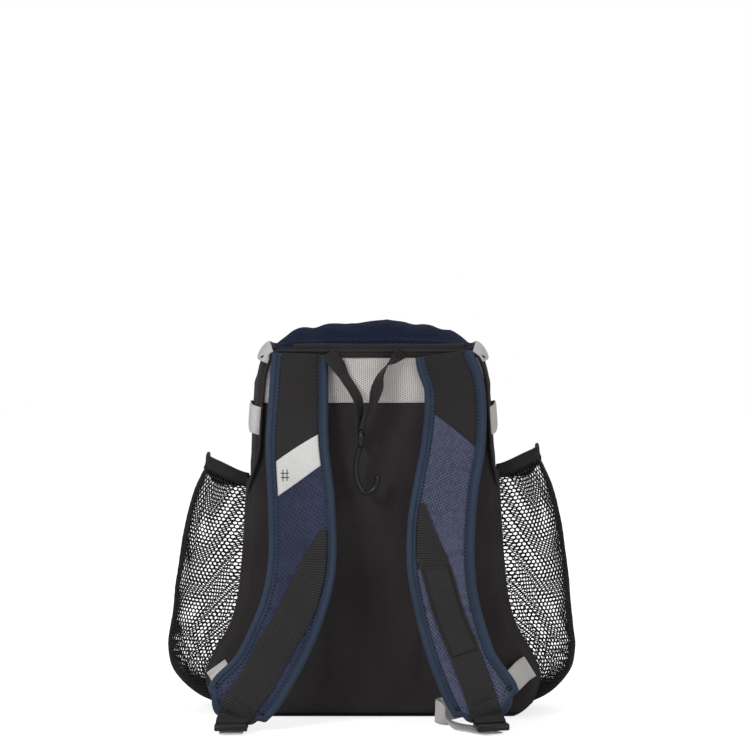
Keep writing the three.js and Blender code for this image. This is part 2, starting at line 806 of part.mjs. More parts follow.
// Middle line of the webbing down each strap, from the pad's lower end upwards, and its width.
const webTables = {
  left: {
    width: 1,
    rows: [
      { up: 0.028, aside: 1.86 },
      { up: 0.066, aside: 1.78 },
      { up: 0.116, aside: 1.591 },
      { up: 0.218, aside: 1.294 },
      { up: 0.32, aside: 0.998 },
      { up: 0.424, aside: 0.75 },
      { up: 0.528, aside: 0.444 },
    ],
  },
  right: {
    width: 0.88,
    rows: [
      { up: 0.031, aside: 1.52 },
      { up: 0.066, aside: 1.475 },
      { up: 0.195, aside: 1.235 },
      { up: 0.31, aside: 1 },
      { up: 0.424, aside: 0.831 },
      { up: 0.5, aside: 0.66 },
      { up: 0.55, aside: 0.545 },
    ],
  },
};

// Where along a strap its middle line is at a height.
function alongAt(strap, up) {
  let [low, high] = [0, strap.length];
  for (let i = 0; i < 20; i++) {
    const middle = (low + high) / 2;
    if (strap.frameAt(middle).spot.z > up * bodyHeight) low = middle;
    else high = middle;
  }
  return low;
}

// The middle of a strap's webbing across the strap, at a place along it.
function webMiddle(strap, side, table, along) {
  const { spot, across } = strap.frameAt(Math.min(along, strap.length));
  const asideAt = reader(table.rows, "up", "aside");
  return (side * asideAt(spot.z / bodyHeight) * strapSpread - spot.x) * across.x;
}

// Webbing on a strap's face, from its seam under the inner binding down to a fold round the buckle's first bar.
function webGeometry(strap, side, table) {
  const faceHeight = strapThickness / 2 + seamGap + webThickness / 2;
  const barAlong = strap.length + buckleReach + buckleBar / 2;
  const overBar = buckleThickness / 2 + 2 * gap + webThickness / 2;
  const pastBar = buckleBar / 2 + 2 * gap + webThickness / 2;
  const start = alongAt(strap, table.rows.at(-1).up - 0.015);
  const lying = [0, 0.25, 0.5, 0.75, 0.97].map((share) =>
    vec(mix(start, strap.length, share), faceHeight, 0),
  );
  const folding = [
    vec(barAlong - 4, buckleRaise + overBar + 0.3, 0),
    vec(barAlong, buckleRaise + overBar, 0),
    vec(barAlong + pastBar * 0.85, buckleRaise + overBar * 0.85, 0),
    vec(barAlong + pastBar + 0.3, buckleRaise, 0),
    vec(barAlong + pastBar * 0.85, buckleRaise - overBar * 0.85, 0),
    vec(barAlong, buckleRaise - overBar, 0),
    vec(barAlong - buckleReach * 0.6, buckleRaise - overBar, 0),
  ];
  const route = new THREE.CatmullRomCurve3([...lying, ...folding], false, "centripetal");
  const seam = padRows(strap);
  const half = (table.width * webWidth) / 2;
  return bent(26, 1, (a, b, depth) => {
    const spot = route.getPoint(a);
    const run = route.getTangent(a);
    const off = webThickness * (depth - 0.5);
    const along = spot.x - run.y * off;
    const edge = webMiddle(strap, side, table, along) + (2 * b - 1) * half;
    const room = along < strap.length / 1.2 ? lineThrough(seam, along) : Infinity;
    return strap.point(along, clamp(edge, -room, room), spot.y + run.x * off);
  });
}

// Number patch across the left strap, and a blank woven label on the right strap's webbing.
const patchEnds = { outer: [118, 157], inner: [90, 127] };
function patchGeometry(strap) {
  const seam = padRows(strap);
  return bent(2, 6, (a, b, depth) => {
    const side = 2 * b - 1;
    const [from, to] = [0, 1].map((end) => mix(patchEnds.inner[end], patchEnds.outer[end], b));
    const along = mix(from, to, a);
    const across = side * lineThrough(seam, along);
    return strap.point(along, across, padFace(side) + gap + patchThickness * depth);
  });
}

const labelSpan = { top: 0.424, bottom: 0.195 };
function labelGeometry(strap, side, table) {
  const from = alongAt(strap, labelSpan.top);
  const to = alongAt(strap, labelSpan.bottom);
  const low = strapThickness / 2 + seamGap + webThickness + gap;
  return bent(7, 1, (a, b, depth) => {
    const along = mix(from, to, a);
    const across = webMiddle(strap, side, table, along) + (b - 0.5) * labelWidth;
    return strap.point(along, across, low + patchThickness * depth);
  });
}

// Ladder buckle: a plate with round corners and three bars, its first bar at the origin.
function buckleGeometry() {
  const half = buckleWidth / 2;
  const plate = new THREE.Shape();
  plate.absarc(half - buckleCorner, buckleCorner, buckleCorner, -Math.PI / 2, 0);
  plate.absarc(half - buckleCorner, buckleLength - buckleCorner, buckleCorner, 0, Math.PI / 2);
  plate.absarc(buckleCorner - half, buckleLength - buckleCorner, buckleCorner, Math.PI / 2, Math.PI);
  plate.absarc(buckleCorner - half, buckleCorner, buckleCorner, Math.PI, Math.PI * 1.5);
  const slot = (buckleLength - 3 * buckleBar) / 2;
  const inside = webWidth / 2 + 1;
  for (const low of [buckleBar, 2 * buckleBar + slot]) {
    const hole = new THREE.Path();
    hole.moveTo(-inside, low);
    hole.lineTo(-inside, low + slot);
    hole.lineTo(inside, low + slot);
    hole.lineTo(inside, low);
    hole.closePath();
    plate.holes.push(hole);
  }
  const geometry = new THREE.ExtrudeGeometry(plate, {
    depth: buckleThickness,
    bevelEnabled: false,
    curveSegments: 2,
  });
  return geometry.translate(0, -buckleBar / 2, -buckleThickness / 2);
}

// Lower webbing from the bag's corner to the buckle: share of the way across and towards the buckle, height as a
// share of the sewn end's, fold towards the middle, and its lie from upright at 0 degrees to flat at 90.
const lowerWebTables = {
  left: [
    { across: 0, out: 0, up: 1, fold: 0, lie: 39 },
    { across: 0.14, out: 0.015, up: 0.92, fold: 0, lie: 41 },
    { across: 0.4, out: 0.12, up: 0.72, fold: 0, lie: 50 },
    { across: 0.7, out: 0.3, up: 0.36, fold: 0, lie: 75 },
    { across: 0.85, out: 0.5, up: 0.12, fold: 0, lie: 90 },
    { across: 0.95, out: 0.72, up: 0.04, fold: 0, lie: 90 },
    { across: 1, out: 0.9, up: 0.035, fold: 0, lie: 90 },
    { across: 1, out: 1, up: 0.04, fold: 0, lie: 90 },
  ],
  right: [
    { across: 0, out: 0, up: 1, fold: 0, lie: 27 },
    { across: 0.16, out: 0.015, up: 0.92, fold: 0, lie: 27 },
    { across: 0.5, out: 0.1, up: 0.7, fold: 0, lie: 25 },
    { across: 1, out: 0.2, up: 0.42, fold: 0.2, lie: 15 },
    { across: 1, out: 0.28, up: 0.29, fold: 0.65, lie: 5 },
    { across: 1, out: 0.35, up: 0.27, fold: 0.95, lie: 0 },
    { across: 1, out: 0.42, up: 0.27, fold: 1, lie: 0 },
    { across: 1, out: 0.5, up: 0.24, fold: 0.9, lie: 12 },
    { across: 1, out: 0.59, up: 0.12, fold: 0.7, lie: 65 },
    { across: 1, out: 0.7, up: 0.05, fold: 0.5, lie: 88 },
    { across: 1, out: 0.84, up: 0.035, fold: 0.22, lie: 90 },
    { across: 1, out: 1, up: 0.045, fold: 0, lie: 90 },
  ],
};
function lowerWebGeometry(side, table, buckleSpot) {
  const aside = seamHalfAt(anchorHeight) - lowerWebWidth / 4;
  const face = backFaceAt(aside, anchorHeight);
  const start = vec(side * aside, face - 2 * gap - lowerWebThickness / 2, anchorHeight);
  const rows = table.map((row) => {
    const lie = THREE.MathUtils.degToRad(row.lie);
    return {
      spot: vec(
        mix(start.x, buckleSpot.x, row.across) - side * row.fold * foldReach,
        mix(start.y, buckleSpot.y, row.out),
        row.up * anchorHeight,
      ),
      across: vec(side * Math.sin(lie), 0, -Math.cos(lie)),
    };
  });
  return ribbon(rows, lowerWebWidth, lowerWebThickness, side > 0 ? 22 : 14);
}

for (const { suffix, side } of sides) {
  const strap = strapFrames(side, strapTables[suffix]);
  const table = webTables[suffix];
  add(`strap_pad_${suffix}`, padGeometry(strap), ripstop);
  add(`strap_binding_${suffix}`, bindingGeometry(strap), bindingNavy);
  add(`strap_web_${suffix}`, webGeometry(strap, side, table), black);
  if (side < 0) add("number_patch", patchGeometry(strap), white);
  else add("strap_label", labelGeometry(strap, side, table), black);

  const barAlong = strap.length + buckleReach + buckleBar / 2;
  const frame = strap.frameAt(barAlong);
  const seat = new THREE.Group();
  const sideways = frame.run.clone().cross(frame.face);
  seat.applyMatrix4(new THREE.Matrix4().makeBasis(sideways, frame.run, frame.face));
  const middle = webMiddle(strap, side, table, barAlong);
  seat.position.copy(strap.point(barAlong, middle, buckleRaise));
  add(`buckle_${suffix}`, buckleGeometry(), plastic, seat);
  bag.add(seat);

  const farBar = seat.position.clone().addScaledVector(frame.run, buckleLength - buckleBar);
  add(`lower_web_${suffix}`, lowerWebGeometry(side, lowerWebTables[suffix], farBar), grey);
}

// Hang loop of webbing, sewn under the yoke at both ends, with the fence hook's eye bar hanging in it.
const eyeBar = vec(-hookOffset, backPlane - backCrown - hookClear, yokeBottom - hookDrop);
const loopTurn = hookWire / 2 + hookPlay + loopThickness / 2;
const loopTable = [
  { aside: -0.43, up: 1.03, off: 0.42, roll: 30 },
  { aside: -0.32, up: 0.88, off: 0.5, roll: 36 },
  { aside: -0.21, up: 0.7, off: 0.65, roll: 60 },
  { aside: -0.107, up: 0.55, off: 0.8, roll: 60 },
  { aside: -0.04, up: 0.42, off: 0.92, roll: 60 },
  { aside: -0.02, up: 0.27, off: 1, roll: 66 },
  { aside: -0.03, up: 0.12, off: 1, roll: 80 },
];
const loopTableRight = [
  { aside: 0.055, up: 0.12, off: 1, roll: 90 },
  { aside: 0.12, up: 0.27, off: 1, roll: 105 },
  { aside: 0.173, up: 0.42, off: 0.92, roll: 120 },
  { aside: 0.21, up: 0.56, off: 0.8, roll: 130 },
  { aside: 0.25, up: 0.72, off: 0.65, roll: 110 },
  { aside: 0.34, up: 0.86, off: 0.5, roll: 90 },
  { aside: 0.45, up: 0.95, off: 0.42, roll: 60 },
  { aside: 0.555, up: 1.04, off: 0.36, roll: 40 },
];
const loopFront = backPlane - yokeProud;
const loopRise = yokeBottom + yokeHeight / 4 - eyeBar.z;
const loopSpot = (row) =>
  vec(
    eyeBar.x + row.aside * loopSpread,
    mix(loopFront, eyeBar.y, row.off),
    eyeBar.z + row.up * loopRise,
  );
function rolledAcross(roll, run) {
  const turn = THREE.MathUtils.degToRad(roll);
  const flat = vec(Math.abs(run.z), 0, -run.x * Math.sign(run.z)).normalize();
  return flat.multiplyScalar(Math.cos(turn)).addScaledVector(towardsBag, Math.sin(turn));
}
function branchRows(table) {
  const spots = table.map(loopSpot);
  return table.map((row, i) => {
    const run = spots[Math.min(i + 1, spots.length - 1)].clone().sub(spots[Math.max(i - 1, 0)]);
    return { spot: spots[i], across: rolledAcross(row.roll, run) };
  });
}
const turnRows = [-180, -135, -90, -45, 0].map((degrees) => {
  const turn = THREE.MathUtils.degToRad(degrees);
  const spot = vec(Math.cos(turn), 0, Math.sin(turn)).multiplyScalar(loopTurn).add(eyeBar);
  return { spot, across: towardsBag.clone() };
});
const loopRows = [...branchRows(loopTable), ...turnRows, ...branchRows(loopTableRight)];
add("hang_loop", ribbon(loopRows, loopWidth, loopThickness, 34), black);

// Fence hook: a moulded eye whose top bar the loop goes round, and a bent wire below it.
const bendTable = [
  { aside: -0.02, down: 0.2 },
  { aside: -0.055, down: 0.38 },
  { aside: -0.085, down: 0.58 },
  { aside: -0.06, down: 0.82 },
  { aside: 0.055, down: 1 },
  { aside: 0.2, down: 0.96 },
  { aside: 0.265, down: 0.82 },
  { aside: 0.275, down: 0.7 },
];
function hookGeometry() {
  const [halfWide, tall] = [loopWidth / 2 + hookEyeSlack, hookEyeHeight];
  const rectangle = (path, wide, low, high) => {
    path.moveTo(-wide, low);
    path.lineTo(wide, low);
    path.lineTo(wide, high);
    path.lineTo(-wide, high);
    path.closePath();
    return path;
  };
  const inset = hookWire - hookBevel;
  const eye = rectangle(
    new THREE.Shape(),
    halfWide + inset,
    -hookWire / 2 - tall - inset,
    hookWire / 2 - hookBevel,
  );
  eye.holes.push(
    rectangle(new THREE.Path(), halfWide + hookBevel, -hookWire / 2 - tall - hookBevel, -hookWire / 2 + hookBevel),
  );
  const ring = new THREE.ExtrudeGeometry(eye, {
    depth: hookWire - 2 * hookBevel,
    bevelThickness: hookBevel,
    bevelSize: hookBevel,
    bevelSegments: 1,
  });
  ring.translate(0, 0, hookBevel - hookWire / 2);
  ring.applyMatrix4(new THREE.Matrix4().makeBasis(vec(0, 1, 0), vec(0, 0, 1), vec(1, 0, 0)));
  const section = new THREE.Shape();
  const wireSides = 8;
  for (let i = 0; i < wireSides; i++) {
    const turn = (2 * Math.PI * (i + 0.5)) / wireSides;
    const [x, y] = [Math.cos(turn), Math.sin(turn)].map((share) => (share * hookWire) / 2);
    if (i === 0) section.moveTo(x, y);
    else section.lineTo(x, y);
  }
  section.closePath();
  const bend = new THREE.ExtrudeGeometry(section, {
    steps: 18,
    bevelEnabled: false,
    extrudePath: new THREE.CatmullRomCurve3(
      bendTable.map((row) => vec(row.aside * hookLength, 0, -row.down * hookLength)),
      false,
      "centripetal",
    ),
  });
  return geometryOf(solid(ring).add(solid(bend)));
}
const hook = new THREE.Group();
hook.position.copy(eyeBar);
add("fence_hook", hookGeometry(), plastic, hook);
bag.add(hook);

export default bag;
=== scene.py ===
"""Visual model of a youth baseball bat backpack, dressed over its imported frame.

The bag stands empty on its base with its shoulder straps towards -Y. Shapes are worked out in millimetres
in the frame's own axes and stored in metres. Each sub-assembly is a class that holds its sizes, builds its
pieces and dresses them; `main` builds them in order.
"""

from __future__ import annotations

import json
import logging
import math
from dataclasses import dataclass, field
from enum import Enum
from typing import Callable, Sequence

import bmesh
import bpy
import numpy as np
from mathutils import Matrix, Vector

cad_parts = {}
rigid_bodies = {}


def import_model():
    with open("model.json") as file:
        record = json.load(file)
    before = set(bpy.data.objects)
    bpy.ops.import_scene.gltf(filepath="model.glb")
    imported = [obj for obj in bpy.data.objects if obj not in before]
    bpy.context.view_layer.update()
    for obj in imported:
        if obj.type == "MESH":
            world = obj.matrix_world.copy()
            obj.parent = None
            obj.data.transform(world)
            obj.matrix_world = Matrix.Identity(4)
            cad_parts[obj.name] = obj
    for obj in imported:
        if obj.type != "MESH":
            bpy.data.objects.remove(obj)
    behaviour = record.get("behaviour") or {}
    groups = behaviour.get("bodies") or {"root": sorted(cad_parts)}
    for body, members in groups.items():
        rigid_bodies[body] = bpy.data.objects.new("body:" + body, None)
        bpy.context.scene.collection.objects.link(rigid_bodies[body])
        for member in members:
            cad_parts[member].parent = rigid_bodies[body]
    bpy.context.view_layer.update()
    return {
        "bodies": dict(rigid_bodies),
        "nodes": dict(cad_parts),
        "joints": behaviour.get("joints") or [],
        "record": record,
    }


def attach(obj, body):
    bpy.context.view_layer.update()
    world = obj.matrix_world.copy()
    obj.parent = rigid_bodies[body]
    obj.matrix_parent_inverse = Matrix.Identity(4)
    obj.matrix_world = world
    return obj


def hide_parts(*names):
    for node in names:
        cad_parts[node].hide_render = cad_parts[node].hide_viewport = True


MM = 0.001
BAG = "bag"
HOOK = "hook"
CLOTH_UV = "cloth"
SIDES = (("left", -1), ("right", 1))
log = logging.getLogger("bat_backpack")

Rows = np.ndarray
Piece = bpy.types.Object
Shape = bmesh.types.BMesh
Socket = bpy.types.NodeSocket
# A place function gives rows of points, in millimetres, for two rows of shares from 0 to 1.
Place = Callable[[Rows, Rows], Rows]


# Arrays of points

def xyz(x: object, y: object, z: object) -> Rows:
    """Rows of points from their three coordinates, in millimetres."""
    return np.stack(np.broadcast_arrays(x, y, z), axis=-1).astype(float)


def unit(rows: Rows) -> Rows:
    """Rows of vectors at length one."""
    return rows / np.maximum(np.linalg.norm(rows, axis=-1, keepdims=True), 1e-9)


def bump(away: Rows) -> Rows:
    """A soft hump: one at nothing, and gone by about two."""
    return np.exp(-np.square(away))


def ease(low: float, high: float, value: Rows) -> Rows:
    """A soft step from nothing below low to one above high."""
    share = np.clip((value - low) / (high - low), 0.0, 1.0)
    return share * share * (3.0 - 2.0 * share)


def walked(line: Rows) -> Rows:
    """How far a line of points has run at each of them."""
    return np.concatenate([[0.0], np.cumsum(np.linalg.norm(np.diff(line, axis=0), axis=1))])


def read_row(at: float, steps: Rows, line: Rows) -> Rows:
    """The row of a line at a length along it, between the lengths that its rows have run."""
    return np.array([np.interp(at, steps, column) for column in line.T])


class Spline:
    """A smooth open curve through points, spaced by the root of their distances."""

    def __init__(self, points: Sequence[Sequence[float]], divisions: int = 400) -> None:
        """Fits the curve.

        Args:
            points: The points it passes through, as rows.
            divisions: How finely its length is measured.
        """
        knots = np.asarray(points, float)
        row = np.vstack([2 * knots[0] - knots[1], knots, 2 * knots[-1] - knots[-2]])
        before, start, end, after = row[:-3], row[1:-2], row[2:-1], row[3:]
        gaps = (start - before, end - start, after - end)
        root = [np.sqrt(np.linalg.norm(gap, axis=1))[:, None] for gap in gaps]
        middle = np.where(root[1] < 1e-4, 1.0, root[1])
        first = np.where(root[0] < 1e-4, middle, root[0])
        last = np.where(root[2] < 1e-4, middle, root[2])
        run = (end - start) / middle
        leave = middle * ((start - before) / first - (end - before) / (first + middle) + run)
        reach = middle * (run - (after - start) / (middle + last) + (after - end) / last)
        self.spans = len(start)
        self.terms = (start, leave, 3 * (end - start) - 2 * leave - reach, 2 * (start - end) + leave + reach)
        self.shares = np.linspace(0.0, 1.0, divisions + 1)
        self.lengths = walked(self.point(self.shares))
        self.length = float(self.lengths[-1])

    def point(self, share: Rows) -> Rows:
        """Points of the curve.

        Args:
            share: Shares of the way from knot to knot.

        Returns:
            Rows of points.
        """
        at = np.clip(np.atleast_1d(share), 0.0, 1.0) * self.spans
        span = np.minimum(at.astype(int), self.spans - 1)
        t = (at - span)[:, None]
        a, b, c, d = (term[span] for term in self.terms)
        return a + t * (b + t * (c + t * d))

    def share_at(self, length: Rows) -> Rows:
        """The share at which the curve has run a length."""
        return np.interp(length, self.lengths, self.shares)

    def tangent(self, share: Rows) -> Rows:
        """The way the curve runs at shares."""
        step = 1e-4
        at = np.clip(np.atleast_1d(share), step, 1.0 - step)
        return unit(self.point(at + step) - self.point(at - step))


class Reading:
    """Smooth reading of one column of a table against another, without overshoot."""

    def __init__(self, x: Sequence[float], y: Sequence[float]) -> None:
        """Keeps the columns.

        Args:
            x: The sorted column that is read by.
            y: The column that is read.
        """
        self.x, self.y = np.asarray(x, float), np.asarray(y, float)
        slope = np.diff(self.y) / np.diff(self.x)
        before, after = slope[:-1], slope[1:]
        total = np.where(before + after == 0, 1.0, before + after)
        middle = np.where(before * after <= 0, 0.0, 2 * before * after / total)
        self.tangents = np.concatenate([slope[:1], middle, slope[-1:]])

    def __call__(self, value: Rows) -> Rows:
        """Reads the table, held at both of its ends.

        Args:
            value: Values in the column that is read by.

        Returns:
            The readings.
        """
        at = np.clip(value, self.x[0], self.x[-1])
        i = np.clip(np.searchsorted(self.x, at, side="left") - 1, 0, len(self.x) - 2)
        run = self.x[i + 1] - self.x[i]
        t = (at - self.x[i]) / run
        rise = 3 * t**2 - 2 * t**3
        return (
            (1 - rise) * self.y[i]
            + rise * self.y[i + 1]
            + run * ((t**3 - 2 * t**2 + t) * self.tangents[i] + (t**3 - t**2) * self.tangents[i + 1])
        )


class ClothNoise:
    """Seeded smooth noise for wrinkles, read at points in any unit."""

    def __init__(self, seed: int) -> None:
        """Draws the noise's lattice from a seed."""
        draw = np.random.default_rng(seed)
        self.order = np.tile(draw.permutation(256), 3)
        self.slopes = unit(draw.normal(size=(256, 3)))

    def at(self, points: Rows) -> Rows:
        """Noise from about -1 to 1.

        Args:
            points: Rows of points.

        Returns:
            The noise at each of them.
        """
        cell = np.floor(points).astype(int)
        inside = points - cell
        soft = inside**3 * (inside * (inside * 6 - 15) + 10)
        total = np.zeros(len(points))
        for corner in np.ndindex(2, 2, 2):
            x, y, z = ((cell[:, k] + corner[k]) & 255 for k in range(3))
            slope = self.slopes[self.order[self.order[self.order[x] + y] + z]]
            weight = np.prod(np.where(corner, soft, 1 - soft), axis=1)
            total += weight * np.sum(slope * (inside - corner), axis=1)
        return 1.6 * total

    def creases(self, points: Rows) -> Rows:
        """Sharp-edged creases from about 0 to 1."""
        return np.square(1.0 - np.minimum(1.0, np.abs(self.at(points)) * 2.2))

    def cloth(self, points: Rows) -> Rows:
        """Loose cloth: broad swells with smaller ones on them."""
        return self.at(points) + 0.45 * self.at(2.3 * points + 7.1) + 0.2 * self.at(5.1 * points + 3.7)


# Meshes

def keep(name: str, mesh: bpy.types.Mesh) -> Piece:
    """Puts a mesh into the scene as an object at the origin."""
    piece = bpy.data.objects.new(name, mesh)
    bpy.context.scene.collection.objects.link(piece)
    return piece


def read_points(mesh: bpy.types.Mesh) -> Rows:
    """A mesh's points as rows, in metres."""
    flat = np.empty(3 * len(mesh.vertices))
    mesh.vertices.foreach_get("co", flat)
    return flat.reshape(-1, 3)


def write_points(mesh: bpy.types.Mesh, rows: Rows) -> None:
    """Moves a mesh's points to rows, in metres."""
    mesh.vertices.foreach_set("co", np.ascontiguousarray(rows, dtype=np.float64).ravel())
    mesh.update()


def put_uv(mesh: bpy.types.Mesh, rows: Rows) -> None:
    """Gives a mesh a cloth map from one row of two lengths, in metres, for each point."""
    corners = np.empty(len(mesh.loops), dtype=np.int32)
    mesh.loops.foreach_get("vertex_index", corners)
    layer = mesh.uv_layers.new(name=CLOTH_UV)
    layer.data.foreach_set("uv", rows[corners].ravel())


def meshed(name: str, shape: Shape) -> bpy.types.Mesh:
    """A new mesh from finished bmesh work, which is then let go."""
    mesh = bpy.data.meshes.new(name)
    shape.to_mesh(mesh)
    shape.free()
    return mesh


def turned(side: Vector, run: Vector, out: Vector) -> Matrix:
    """The turn that lays X, Y and Z along three directions."""
    return Matrix((side, run, out)).transposed().to_4x4()


def bevelled(shape: Shape, edges: Sequence[bmesh.types.BMEdge], offset: float, segments: int) -> None:
    """Rounds edges by an offset in millimetres."""
    bmesh.ops.bevel(
        shape, geom=edges, offset=offset * MM, segments=segments, profile=0.5, affect="EDGES", material=-1
    )


def block(shape: Shape, place: Matrix, size: Sequence[float], offset: float, segments: int) -> None:
    """Adds a box with rounded edges.

    Args:
        shape: The bmesh it is added to.
        place: Its place and turn, in metres.
        size: Its three sides, in millimetres.
        offset: How much its edges are rounded, in millimetres.
        segments: Faces across each rounded edge.
    """
    scale = Matrix.Diagonal((*(part * MM for part in size), 1.0))
    made = bmesh.ops.create_cube(shape, size=1.0, matrix=place @ scale)
    bevelled(shape, list({edge for vertex in made["verts"] for edge in vertex.link_edges}), offset, segments)


def bead(
    shape: Shape,
    spot: Rows,
    run: Rows,
    up: Rows,
    size: Sequence[float],
    aside: float = 0.0,
) -> None:
    """Adds a small rounded grain, such as a stitch or a zip tooth.

    Args:
        shape: The bmesh it is added to.
        spot: Its middle, in millimetres.
        run: The way its length runs.
        up: The way it faces.
        size: Half of its width, length and height, in millimetres.
        aside: How far it stands off along its width, in millimetres.
    """
    forward = Vector(run).normalized()
    side = forward.cross(Vector(up).normalized()).normalized()
    scale = Matrix.Diagonal((*(part * MM for part in size), 1.0))
    middle = Matrix.Translation((Vector(spot) + side * aside) * MM)
    turn = turned(side, forward, side.cross(forward))
    bmesh.ops.create_icosphere(shape, subdivisions=1, radius=1.0, matrix=middle @ turn @ scale)


def edit(mesh: bpy.types.Mesh, work: Callable[[Shape], None]) -> None:
    """Changes a mesh through bmesh.

    Args:
        mesh: The mesh.
        work: What is done to it.
    """
    shape = bmesh.new()
    shape.from_mesh(mesh)
    work(shape)
    shape.to_mesh(mesh)
    shape.free()


def smooth(mesh: bpy.types.Mesh, sharp: float | None = None) -> None:
    """Shades a mesh smooth, with edges kept where they turn by more than an angle in degrees."""
    mesh.polygons.foreach_set("use_smooth", [True] * len(mesh.polygons))
    if sharp is not None:
        mesh.set_sharp_from_angle(angle=math.radians(sharp))
    mesh.update()


def facing(mesh: bpy.types.Mesh, way: Sequence[float]) -> None:
    """Turns an open sheet's faces over if they look away from a direction."""
    flat = np.empty(3 * len(mesh.polygons))
    mesh.polygons.foreach_get("normal", flat)
    if float(np.sum(flat.reshape(-1, 3) @ np.asarray(way, float))) < 0:
        edit(mesh, lambda shape: bmesh.ops.reverse_faces(shape, faces=shape.faces[:]) and None)


def sheet(
    name: str,
    cells: tuple[int, int],
    place: Place,
    span: tuple[float, float],
    looks: Sequence[float],
    thick: float = 0.0,
) -> Piece:
    """An open sheet of cloth from a grid whose points are put in place.

    Args:
        name: The piece's name.
        cells: Grid cells along its two shares.
        place: Gives points in millimetres for the two shares from 0 to 1.
        span: The sheet's rough size along its two shares, in millimetres, for its weave.
        looks: The way its outer face looks.
        thick: Thickness in millimetres, laid under the outer face.

    Returns:
        The new object.
    """
    shape = bmesh.new()
    bmesh.ops.create_grid(shape, x_segments=cells[0], y_segments=cells[1], size=0.5)
    mesh = meshed(name, shape)
    shares = read_points(mesh)[:, :2] + 0.5
    put_uv(mesh, shares * np.asarray(span) * MM)
    write_points(mesh, place(shares[:, 0], shares[:, 1]) * MM)
    facing(mesh, looks)
    smooth(mesh)
    piece = keep(name, mesh)
    if thick:
        wall = piece.modifiers.new("wall", "SOLIDIFY")
        wall.thickness, wall.offset = thick * MM, -1.0
    return piece


def tube(
    name: str,
    cells: tuple[int, int],
    place: Place,
    span: tuple[float, float],
    ring: bool = False,
    sharp: float | None = None,
) -> Piece:
    """A closed form from a grid rolled up along its second share.

    Args:
        name: The piece's name.
        cells: Grid cells along it and round it.
        place: Gives points in millimetres for the shares along and round, the same at round 0 and 1.
        span: The form's rough length and girth, in millimetres.
        ring: Whether its two ends meet too, where it would otherwise be capped.
        sharp: Edges that turn by more than this many degrees stay sharp.

    Returns:
        The new object.
    """
    piece = sheet(name, cells, place, span, (0, 0, 1))

    def close(shape: Shape) -> None:
        """Joins the rolled-up edges and caps the ends."""
        bmesh.ops.remove_doubles(shape, verts=shape.verts[:], dist=2e-6)
        if not ring:
            bmesh.ops.holes_fill(shape, edges=[e for e in shape.edges if e.is_boundary], sides=0)
        bmesh.ops.recalc_face_normals(shape, faces=shape.faces[:])

    edit(piece.data, close)
    smooth(piece.data, sharp)
    return piece


def rod(
    name: str,
    path: Spline,
    radius: float | Callable[[Rows], Rows],
    pitch: float = 2.0,
    sides: int = 12,
    ring: bool = False,
) -> Piece:
    """A round rod or piping along a curve.

    Args:
        name: The piece's name.
        path: The curve, in millimetres.
        radius: Its radius, in millimetres, or a function of the share of its length.
        pitch: Distance between its rows of points, in millimetres.
        sides: Points round it.
        ring: Whether its ends meet.

    Returns:
        The new object.
    """
    rows = max(4, int(path.length / pitch))
    shares = path.share_at(np.linspace(0.0, path.length, rows + 1))
    spots, runs = path.point(shares), path.tangent(shares)
    if ring:
        spots[-1], runs[-1] = spots[0], runs[0]
    side = np.empty_like(runs)
    guess = np.cross(runs[0], (0.31, 0.53, 0.79))
    for i, run in enumerate(runs):
        guess = guess - run * float(guess @ run)
        side[i] = guess = guess / np.linalg.norm(guess)
    if ring:
        side[-1] = side[0]
    other = np.cross(runs, side)
    girth = radius if callable(radius) else lambda share: np.full(len(share), float(radius))

    def place(along: Rows, round_: Rows) -> Rows:
        """Points along the rod and round it."""
        row = np.rint(along * rows).astype(int)
        turn = 2 * math.pi * np.rint(round_ * sides) / sides
        out = side[row] * np.cos(turn)[:, None] + other[row] * np.sin(turn)[:, None]
        return spots[row] + out * girth(along)[:, None]

    return tube(name, (rows, sides), place, (path.length, 2 * math.pi * 3.0), ring=ring)


@dataclass(frozen=True)
class Slack:
    """How a sewn sheet is let go before it is kept.

    Attributes:
        extra: Share of extra cloth.
        press: Pressure from inside.
        most: The furthest that a point may move, in millimetres.
        stiffness: Bending stiffness.
        gravity: Share of gravity that acts.
    """

    extra: float = 0.02
    press: float = 0.0
    most: float = 4.0
    stiffness: float = 0.6
    gravity: float = 0.15


